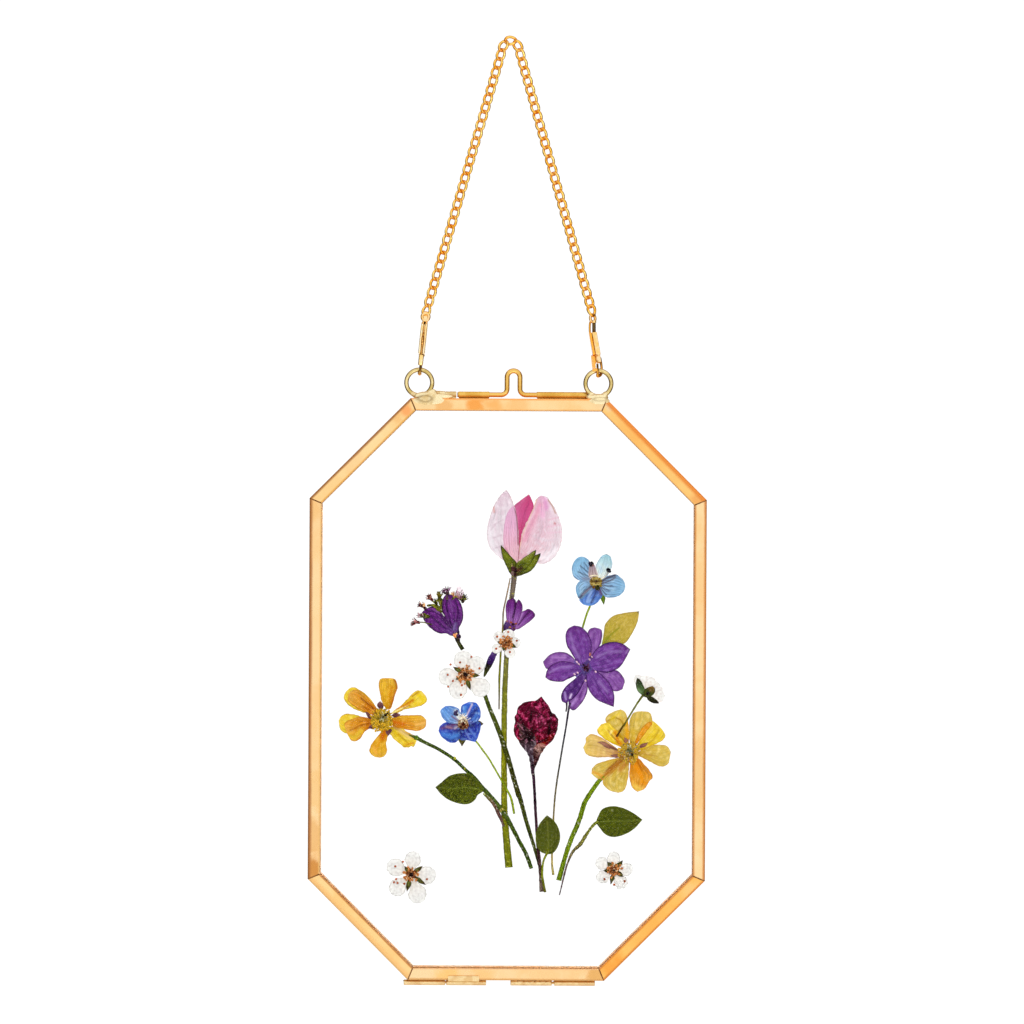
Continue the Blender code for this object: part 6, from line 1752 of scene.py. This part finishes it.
# the large purple flower
purpleFlower = {
    "node": "purple_flower", "skin": "petal", "slot": "petal_violet",
    "looks": {
        "front": {"along": ((108, 66, 146), (110, 60, 140), (112, 56, 140), (92, 34, 110)),
            "rim": ((40, 14, 54), 0.9), "rimWidth": 0.36, "streak": 0.16, "ragged": 0.05,
            "veins": ((56, 30, 104), 0.5, 6), "mottle": ((136, 92, 172), 0.5),
            "shadow": ((72, 40, 108), 0.45), "blotSize": 1.5},
        "back": {"like": "front", "along": ((150, 110, 170), (130, 80, 156), (136, 84, 160),
            (106, 54, 128)), "rim": ((56, 22, 70), 0.9), "mottle": ((164, 118, 184), 0.5),
            "shadow": ((96, 50, 124), 0.5), "veins": ((72, 32, 106), 0.6, 5)},
        "dark": {"like": "front", "along": ((96, 66, 130), (76, 36, 106), (84, 40, 116), (90, 44, 116))},
    },
    "pieces": [
        stem([(571, 704), (569.4, 710), (566.6, 728), (562, 755), (557.8, 781), (555.4, 800), (554, 821)],
            [3, 2.2, 1.8, 1.8, 1.8, 1.8, 1.8], ((50, 36, 60), (54, 54, 60), (80, 74, 60), (134, 116, 66)),
            kink=0.03),
        stem([(554.2, 819), (553.4, 840), (552.5, 861), (553.8, 876.4)], [1.8, 1.8, 2.0, 2.4],
            ((150, 132, 74), (176, 150, 90), (160, 146, 70))),
        stem([(567.4, 703), (567.4, 708), (566.6, 712.4)], [2.2, 1.6, 1.4], ((50, 30, 56), (50, 44, 50))),
        sheet((588, 662), [(590.4, 650), (589, 640), (588.4, 633.7), (590.6, 629.4)], (595.4, 627.8),
            [(595.7, 655), (601, 645.3), (603, 636), (601.8, 630)], "back",
            marks=(([(591, 648), (591.4, 658)], 0.9, (190, 100, 70), 0.8), ([(594, 640), (595, 633)], 1.0,
            (90, 44, 120), 0.6))),
        sheet((582, 668), [(573.5, 657.8), (566.5, 653.2), (558.3, 652.5), (550.2, 655.4)], (543.6, 662.2),
            [(568.8, 665.4), (557.2, 666.4), (548, 669.6), (545, 666.4)], "back",
            marks=(([(553, 658), (566, 658)], 1.2, (174, 130, 196), 0.6),)),
        sheet((594, 670), [(608.5, 673), (616.7, 670.7), (622.5, 675.4), (625.6, 681.5)], (623.3, 689.9),
            [(603.8, 678), (609.7, 685), (613, 691), (618, 692)], "back"),
        sheet((587, 677), [(588.4, 689.7), (585.4, 699), (579.3, 707.4), (574, 711.2)], (569.4, 708),
            [(580, 685), (575.4, 693.2), (569.6, 701.3)], "back", marks=(([(576, 700), (572, 706)], 1.4,
            sheen, 0.6), ([(584, 690), (580, 699)], 1.0, (80, 36, 100), 0.6))),
        disc((586.4, 668.2), 13.6, "own", along=((110, 84, 156), (96, 76, 150), (110, 84, 156)),
            mottle=((140, 104, 176), 0.6), shadow=((80, 50, 120), 0.5), blotSize=0.8, ragged=0.3,
            ragSize=0.9),
        sheet((588, 668), [(571.2, 662.6), (560.7, 662), (551.3, 666), (547.2, 672)], (545.9, 678),
            [(579, 674.8), (568.8, 679.6), (561.8, 682.4), (551.3, 681.3)], "front",
            marks=(([(550, 673), (560, 668), (572, 667)], 1.3, sheen, 0.4),)),
        sheet((588, 669), [(574.7, 680), (566.5, 687), (562.2, 694.3), (562.2, 701.4)], (566, 703.8),
            [(587, 678), (582.9, 686.4), (578.4, 694.5), (572.4, 700.6)], "dark",
            marks=(([(565.4, 693), (566.6, 700)], 1.0, (170, 140, 206), 0.75),
            ([(572, 695), (570.6, 698.6)], 0.8, (226, 206, 236), 0.9), ([(578, 684), (570, 694)], 1.2,
            (56, 24, 80), 0.6))),
        sheet((587, 669), [(578, 662.9), (572.1, 653.6), (567.4, 645.4), (566.2, 636), (568.6, 629.3)],
            (574.8, 625.8), [(590.4, 662), (592.4, 650), (592, 641.8), (588.4, 633.6), (582, 627.5)],
            "front", marks=(([(571, 634), (574, 648), (580, 658)], 1.5, sheen, 0.35),)),
        sheet((586, 668), [(598, 672), (607.6, 680.2), (612.3, 687.2), (615.2, 696.7)], (614.6, 707.6),
            [(586.6, 678), (588.3, 687.3), (592, 694.6), (598, 700.6), (608.3, 705.3)], "front",
            marks=(([(600, 682), (608, 692)], 1.6, sheen, 0.4), ([(594, 676), (600, 690), (608, 700)], 0.8,
            (60, 30, 96), 0.6))),
        sheet((586, 669), [(591, 658), (598, 648.5), (606.2, 643.8), (615.5, 642.4), (623.9, 644.5)],
            (631.3, 649.8), [(594.5, 671.2), (601.5, 672.6), (610.8, 672.6), (620.4, 667.9),
            (626.3, 659.4)], "front", marks=(([(598, 657), (610, 652), (622, 652)], 1.5, sheen, 0.35),
            ([(629, 650), (627, 653)], 1.0, (160, 120, 180), 0.6))),
        disc((586.6, 668.6), 6.4, "own", along=((90, 70, 140), (70, 50, 110), (90, 70, 140)),
            mottle=((110, 90, 160), 0.5), shadow=((60, 30, 70), 0.6), blotSize=0.5, ragged=0.9,
            ragSize=0.6),
        *tuft((586.6, 668.2), 5.4, 16, ((50, 20, 34), (84, 36, 56)), None, 61),
        bud((586.4, 668.2), 2.0, (50, 10, 30), 0.9), bud((584.4, 665.4), 1.2, (44, 22, 54)),
        bud((588.6, 670.8), 1.1, (44, 16, 40)),
        # pale pink dots near the heart, painted glints
        *(bud(place, 0.8, (226, 186, 200), 1.5, 40) for place in ((577.6, 662.4), (575.2, 674.6),
            (586.2, 681.2), (592.6, 657.4), (590.2, 660), (596.4, 672.4), (579.6, 664.6), (578.4, 673.4))),
        bud((590.6, 655), 0.8, (206, 120, 90), 2.4),
    ],
}

# leaves
oliveLeaf = {
    "node": "olive_leaf", "skin": "petal", "slot": "leaf_green",
    "looks": {
        "olive": {"along": ((146, 140, 40), (176, 156, 54), (190, 164, 70), (184, 156, 60)),
            "rim": ((140, 120, 20), 0.8), "rimWidth": 0.28, "ragged": 0.04, "mottle": ((204, 180, 96), 0.5),
            "shadow": ((156, 136, 40), 0.4), "blotSize": 0.8, "streak": 0.08,
            "veins": ((160, 136, 40), 0.4, 12)},
    },
    "pieces": [
        sheet((602.5, 645), [(604.4, 634.5), (606.3, 624.3), (614.2, 616.4), (625.7, 613.2)],
            (640.2, 611.6), [(616, 646), (626, 643.6), (633.5, 633.2), (638.6, 621.7)], "olive",
            marks=(([(604, 644), (611, 636), (620, 628)], 0.9, (104, 120, 10), 0.7),
            ([(603, 645), (607, 640)], 3.0, (140, 144, 40), 0.7), ([(639.2, 612.4)], 1.0, (34, 30, 20),
            1.0))),
    ],
}

leftLeaf = {
    "node": "left_leaf", "skin": "leaf", "slot": "leaf_green",
    "pieces": [
        sheet((483.4, 792.4), [(478, 796), (475.6, 800.4), (470, 804.4), (461.7, 804.9), (450, 801.2),
            (441.7, 795.3)], (435.5, 788), [(482.3, 787), (478.3, 781.4), (471.7, 775.4), (461.7, 773.8),
            (450, 776.4), (441.7, 783)], "leaf", marks=(([(482, 791), (470, 788), (452, 789), (438, 788)],
            0.7, (112, 124, 40), 0.6), ([(460, 775), (472, 784)], 2.4, (80, 78, 20), 0.5))),
    ],
}

middleLeaf = {
    "node": "middle_leaf", "skin": "leaf", "slot": "leaf_green",
    "pieces": [
        stem([(548.6, 850), (547, 855), (543.8, 863.1), (542.8, 876.3), (545.7, 893.3)],
            [3, 2.4, 2.0, 2.2, 2.6], ((110, 116, 20), (120, 130, 20), (96, 92, 16))),
        sheet((548.4, 855.4), [(541.7, 853), (536.9, 846.1), (536.4, 834.8), (539.8, 825.3), (544.6, 819)],
            (547.6, 816), [(553.6, 854), (558.3, 848), (560.8, 838.6), (559.2, 829.1), (554.4, 821.4)],
            "leaf", mottle=((104, 104, 50), 0.6), shadow=((50, 58, 10), 0.6), blotSize=0.5,
            marks=(([(548.4, 855), (549, 840), (547.8, 822)], 0.7, (116, 122, 44), 0.7),)),
    ],
}

rightLeaf = {
    "node": "right_leaf", "skin": "leaf", "slot": "leaf_green",
    "pieces": [
        stem([(599, 822), (594, 826), (588, 834), (581, 845), (574, 852), (569, 862), (565.6, 873),
            (560, 896.2)], [3, 3.0, 3.0, 4.0, 2.8, 2.2, 1.8, 1.2], stalks["mauve"], uneven=0.4),
        sheet((596.4, 823.6), [(598.5, 817.6), (603.2, 809.8), (612.8, 806.9), (624.1, 808.9),
            (635.4, 814.7)], (643.3, 820.6), [(600.3, 828.6), (606, 835.2), (614.7, 838), (626, 835.1),
            (635.4, 829.3)], "leaf", marks=(([(598, 823), (612, 822), (630, 822), (642, 820.8)], 0.7,
            (112, 124, 40), 0.7), ([(613, 811)], 0.9, (170, 176, 120), 0.8))),
    ],
}

# the crimson bud, whose near-black marks are painted shade in its folds
crimsonBud = {
    "node": "crimson_bud", "skin": "crumpled", "slot": "petal_crimson",
    "looks": {
        "crimson": {"along": ((156, 20, 36), (170, 16, 66), (180, 28, 84), (156, 12, 62)), "step": 0.2,
            "rim": ((60, 4, 20), 0.6), "rimWidth": 0.3, "ragged": 0.16, "ragSize": 1.3, "relief": 0.1,
            "streak": 0.15, "shadow": ((84, 2, 24), 0.7), "mottle": ((206, 70, 124), 0.4), "blotSize": 1.0},
        "fuzz": {"along": ((56, 36, 46), (156, 144, 158), (166, 148, 160), (96, 58, 58), (108, 70, 64),
            (96, 54, 52)), "step": 0.2, "ragged": 0.14, "ragSize": 1.0, "relief": 0.06, "streak": 0.12,
            "mottle": ((150, 130, 140), 0.5), "shadow": ((56, 34, 44), 0.6), "blotSize": 0.6},
    },
    "pieces": [
        stem([(533.6, 762), (533.2, 772), (534.4, 781), (536.3, 816), (538.2, 844), (541, 872.6),
            (542.6, 893)], [6.4, 3.6, 3.0, 2.8, 3.2, 3.6, 5], ((56, 32, 48), (44, 20, 36), (54, 22, 36),
            (60, 34, 36), (110, 92, 80)), specks=0.02, kink=0.03),
        sheet((533, 758), [(523.6, 748.4), (519, 741.9), (515.2, 735.3), (513.8, 729.7), (515.7, 722.1),
            (514.7, 717.4), (517.6, 713.4), (518.4, 707.9), (524, 703.5), (531.4, 701.6), (536.4, 701)],
            (541.9, 696.9), [(541, 753), (546.1, 747.6), (552.4, 742), (556.2, 735.3), (558.6, 727.8),
            (558.6, 720.2), (555.8, 715), (552.4, 713.2), (550, 707.7), (545.8, 702.2)], "crimson",
            marks=(([(536, 747), (545, 744), (553, 736)], 2.4, (176, 40, 14), 0.85),
            ([(519, 741), (523, 746)], 1.8, (190, 40, 20), 0.7), ([(520, 716), (524, 727), (530, 735)], 1.6,
            (20, 2, 10), 0.85), ([(552, 712), (550, 726), (547, 736), (540, 743)], 2.2, (24, 2, 10), 0.9),
            ([(530, 714), (541, 709)], 1.0, (24, 2, 10), 0.8), ([(556, 722), (552, 732)], 1.2,
            (166, 20, 60), 0.7))),
        sheet((540, 744), [(531.6, 741), (528.6, 733), (529.6, 722), (526, 712)], (534, 703.4),
            [(548.6, 738), (551.4, 728), (549.6, 716), (542, 706.4)], "crimson",
            along=((160, 20, 40), (180, 26, 78), (196, 52, 108)), marks=(([(535, 740.6), (540, 742.6),
            (546, 740.6), (549, 735), (550.4, 726)], 1.5, (12, 0, 6), 0.95),
            ([(532, 712), (531, 722), (533, 732), (540, 741)], 1.2, (20, 2, 10), 0.85),
            ([(536, 720), (542, 726), (539, 734)], 2.2, (180, 56, 104), 0.6),
            ([(536, 713), (544, 716), (549, 724)], 1.0, (20, 2, 10), 0.8))),
        sheet((534, 741), [(533, 736), (533, 726), (534, 718)], (539, 715),
            [(545, 740), (548, 733), (547, 724), (543.4, 717)], "crimson", along=((150, 14, 30),
            (184, 30, 80), (210, 84, 136)), marks=(([(535, 732), (540, 729), (545, 733)], 1.0, (20, 2, 10),
            0.9), ([(537, 738), (542, 737)], 1.8, (170, 30, 40), 0.7))),
        sheet((533.6, 770), [(530.3, 762), (528.2, 755.2), (523.6, 748.4), (520.6, 743.6), (519.8, 732)],
            (516.4, 721), [(536.2, 767), (538.4, 760), (536.8, 748), (535.6, 736), (527, 728)], "fuzz",
            marks=(([(518, 722), (525, 733), (531, 743)], 2.4, (50, 22, 36), 0.8),
            ([(530, 738), (534, 746)], 1.6, (36, 12, 22), 0.8), ([(527, 751), (532, 760)], 2.6,
            (140, 130, 146), 0.6), ([(518, 723), (522, 728)], 0.8, (170, 110, 120), 0.7),
            ([(524, 748), (530, 750), (534, 747)], 0.9, (170, 156, 166), 0.6))),
        sheet((534, 769), [(534.4, 760), (534, 752), (536, 746)], (541, 743.4),
            [(538.3, 762.7), (542, 754.2), (546.4, 747.4), (545, 744.6)], "fuzz",
            along=((70, 36, 46), (140, 90, 90), (196, 150, 130), (190, 70, 30)),
            marks=(([(536, 758), (539, 760)], 1.6, (110, 30, 40), 0.7),)),
    ],
}

# loose stems
darkStem = {
    "node": "dark_stem", "skin": "stem", "slot": "stem_brown",
    "pieces": [
        stem([(495.4, 652.4), (491.8, 659.4), (489.4, 665)], [5.6, 7.2, 6.4],
            ((96, 70, 130), (60, 26, 100), (40, 20, 60)), thick=0.5),
        stem([(489.6, 664.4), (487.2, 670), (484.4, 677.4)], [6.4, 5.0, 1.4],
            ((36, 24, 30), (44, 46, 16), (60, 66, 24)), thick=0.4),
        stem([(485.4, 696), (490, 709), (499, 731), (508.3, 758.3), (514.7, 781), (519.4, 797)],
            [4.0, 4.2, 4.8, 5.0, 5.0, 5.2], ((62, 74, 16), (62, 68, 12), (50, 50, 8)), specks=0.03,
            kink=0.03),
        stem([(519, 795), (521.6, 803), (527.3, 824), (535.3, 850), (541.6, 873)],
            [5.2, 4.4, 4.0, 3.4, 2.8], ((50, 54, 8), (60, 70, 14), (54, 50, 26)), specks=0.03, kink=0.03),
    ],
}

dryStalk = {
    "node": "dry_stalk", "skin": "stem", "slot": "stem_brown",
    "pieces": [
        stem([(510.6, 578), (507.4, 594.4), (503.9, 611.4), (503, 630), (501.3, 651), (499.8, 680),
            (499.5, 710)], [1.2, 1.5, 1.5, 1.7, 2, 2.2, 1.2], ((150, 126, 96), (120, 96, 70), (110, 96, 40),
            (110, 112, 16), (104, 106, 12), (80, 60, 20))),
    ],
}

sideTwig = {
    "node": "side_twig", "skin": "stem", "slot": "stem_brown",
    "pieces": [
        stem([(484, 794), (493.6, 804.4), (500.4, 818), (504.3, 827.4)], [3, 3.4, 3.4, 1.8],
            ((104, 116, 26), (110, 84, 60), (90, 60, 56), (84, 60, 56)), specks=0.04),
    ],
}

# drawn in this order, which also orders the random draws
specimens = (
    pinkBloom, skyBlueFlower, violetSpray, violetFloret, upperWhite, middleWhite, leftWhite, rightWhite,
    cornflower, leftYellow, rightYellow, purpleFlower, oliveLeaf, whiteBud, crimsonBud, darkStem, dryStalk,
    sideTwig, leftLeaf, middleLeaf, rightLeaf,
)
for specimen in specimens:
    makeSpecimen(specimen)
print("specimens pressed")


studio = {
    "floorHeight": -0.62, "floorRadius": 0.75, "sky": 1.08, "key": 9.0,
    "cameraPlace": (0.0013, -1.00175, -0.1584), "lens": 103.4, "roll": 0.3, "lampPlace": (0.5, -1.1, 0.5),
    "flags": (  # dark cloths: place, turn in degrees, size, tone, and whether only gloss sees them
        ("flagLeft", (-0.75, -0.45, -0.2), (0, 90, 0), (1.0, 0.9), (0.03, 0.025, 0.02), False),
        ("flagRight", (0.95, -0.3, -0.2), (0, 90, 0), (0.8, 0.5), (0.03, 0.025, 0.02), False),
        ("flagBackLeft", (-0.6, 0.55, -0.2), (0, 90, 0), (1.2, 1.8), (0.14, 0.1, 0.04), True),
        ("flagBackRight", (0.6, 0.55, -0.2), (0, 90, 0), (1.2, 1.8), (0.2, 0.13, 0.05), True),
        ("flagAbove", (0, 0.65, 0.45), (0, 0, 0), (1.2, 1.2), (0.5, 0.27, 0.11), True),
        ("flagBelow", (0, 0.65, -0.6), (0, 0, 0), (1.2, 1.2), (0.7, 0.5, 0.3), True),
    ),
    "strip": {"place": (0.15, -0.95, -0.75), "size": (0.9, 0.12), "power": 1.0},
}


def makeStudio():
    scene = bpy.context.scene
    scene.view_settings.view_transform = "Standard"
    world = bpy.data.worlds.new("white studio")
    scene.world = world
    world.use_nodes = True
    world.node_tree.nodes["Background"].inputs[0].default_value = (1, 1, 1, 1)
    world.node_tree.nodes["Background"].inputs[1].default_value = studio["sky"]
    floorMesh = bpy.data.meshes.new("floor")
    cage = bmesh.new()
    bmesh.ops.create_circle(cage, cap_ends=True, segments=96, radius=studio["floorRadius"])
    cage.to_mesh(floorMesh)
    cage.free()
    floorFinish = Finish("pale floor")
    cloud = floorFinish.noise(floorFinish.place(), 3, 2, 0.5)
    colour = floorFinish.mix(cloud, (0.8, 0.8, 0.8), (0.84, 0.84, 0.83))
    floorMesh.materials.append(floorFinish.surface(Base_Color=colour, Roughness=0.8))
    floor = bpy.data.objects.new("floor", floorMesh)
    floor.location.z = studio["floorHeight"]
    scene.collection.objects.link(floor)
    for name, place, turn, size, tone, glossOnly in studio["flags"]:
        flagMesh = bpy.data.meshes.new(name)
        cage = bmesh.new()
        bmesh.ops.create_grid(cage, x_segments=1, y_segments=1, size=0.5)
        cage.to_mesh(flagMesh)
        cage.free()
        flagFinish = Finish("dark cloth flag")
        weave = flagFinish.noise(flagFinish.place(), 40, 2, 0.5)
        cloth = flagFinish.mix(weave, tone, [channel * 1.3 for channel in tone])
        flagMesh.materials.append(flagFinish.surface(Base_Color=cloth, Roughness=1.0, Specular_IOR_Level=0.0))
        flag = bpy.data.objects.new(name, flagMesh)
        flag.scale = (*size, 1)
        flag.rotation_euler = [math.radians(angle) for angle in turn]
        flag.location = place
        flag.visible_camera = flag.visible_transmission = False
        flag.visible_shadow = flag.visible_diffuse = not glossOnly
        flag.visible_glossy = glossOnly
        scene.collection.objects.link(flag)
    light = bpy.data.lights.new("softbox", "AREA")
    light.shape, light.size, light.energy = "SQUARE", 0.8, studio["key"]
    lamp = bpy.data.objects.new("softbox", light)
    lamp.location = studio["lampPlace"]
    lamp.visible_glossy = False
    light = bpy.data.lights.new("strip light", "AREA")
    light.shape, light.energy = "RECTANGLE", studio["strip"]["power"]
    light.size, light.size_y = studio["strip"]["size"]
    strip = bpy.data.objects.new("strip light", light)
    strip.location = studio["strip"]["place"]
    strip.rotation_euler = (Vector((0, 0, -0.2)) - Vector(strip.location)).to_track_quat("-Z", "Y").to_euler()
    strip.visible_diffuse = strip.visible_transmission = False
    scene.collection.objects.link(strip)
    lamp.rotation_euler = (Vector((0, 0, -0.2)) - Vector(lamp.location)).to_track_quat("-Z", "Y").to_euler()
    scene.collection.objects.link(lamp)
    cameraData = bpy.data.cameras.new("camera")
    cameraData.sensor_width, cameraData.lens = 36, studio["lens"]
    cameraData.clip_start, cameraData.clip_end = 0.01, 20
    camera = bpy.data.objects.new("camera", cameraData)
    camera.location = studio["cameraPlace"]
    camera.rotation_euler = (math.pi / 2, -math.radians(studio["roll"]), 0)
    scene.collection.objects.link(camera)
    scene.camera = camera


makeStudio()
print("studio lit")
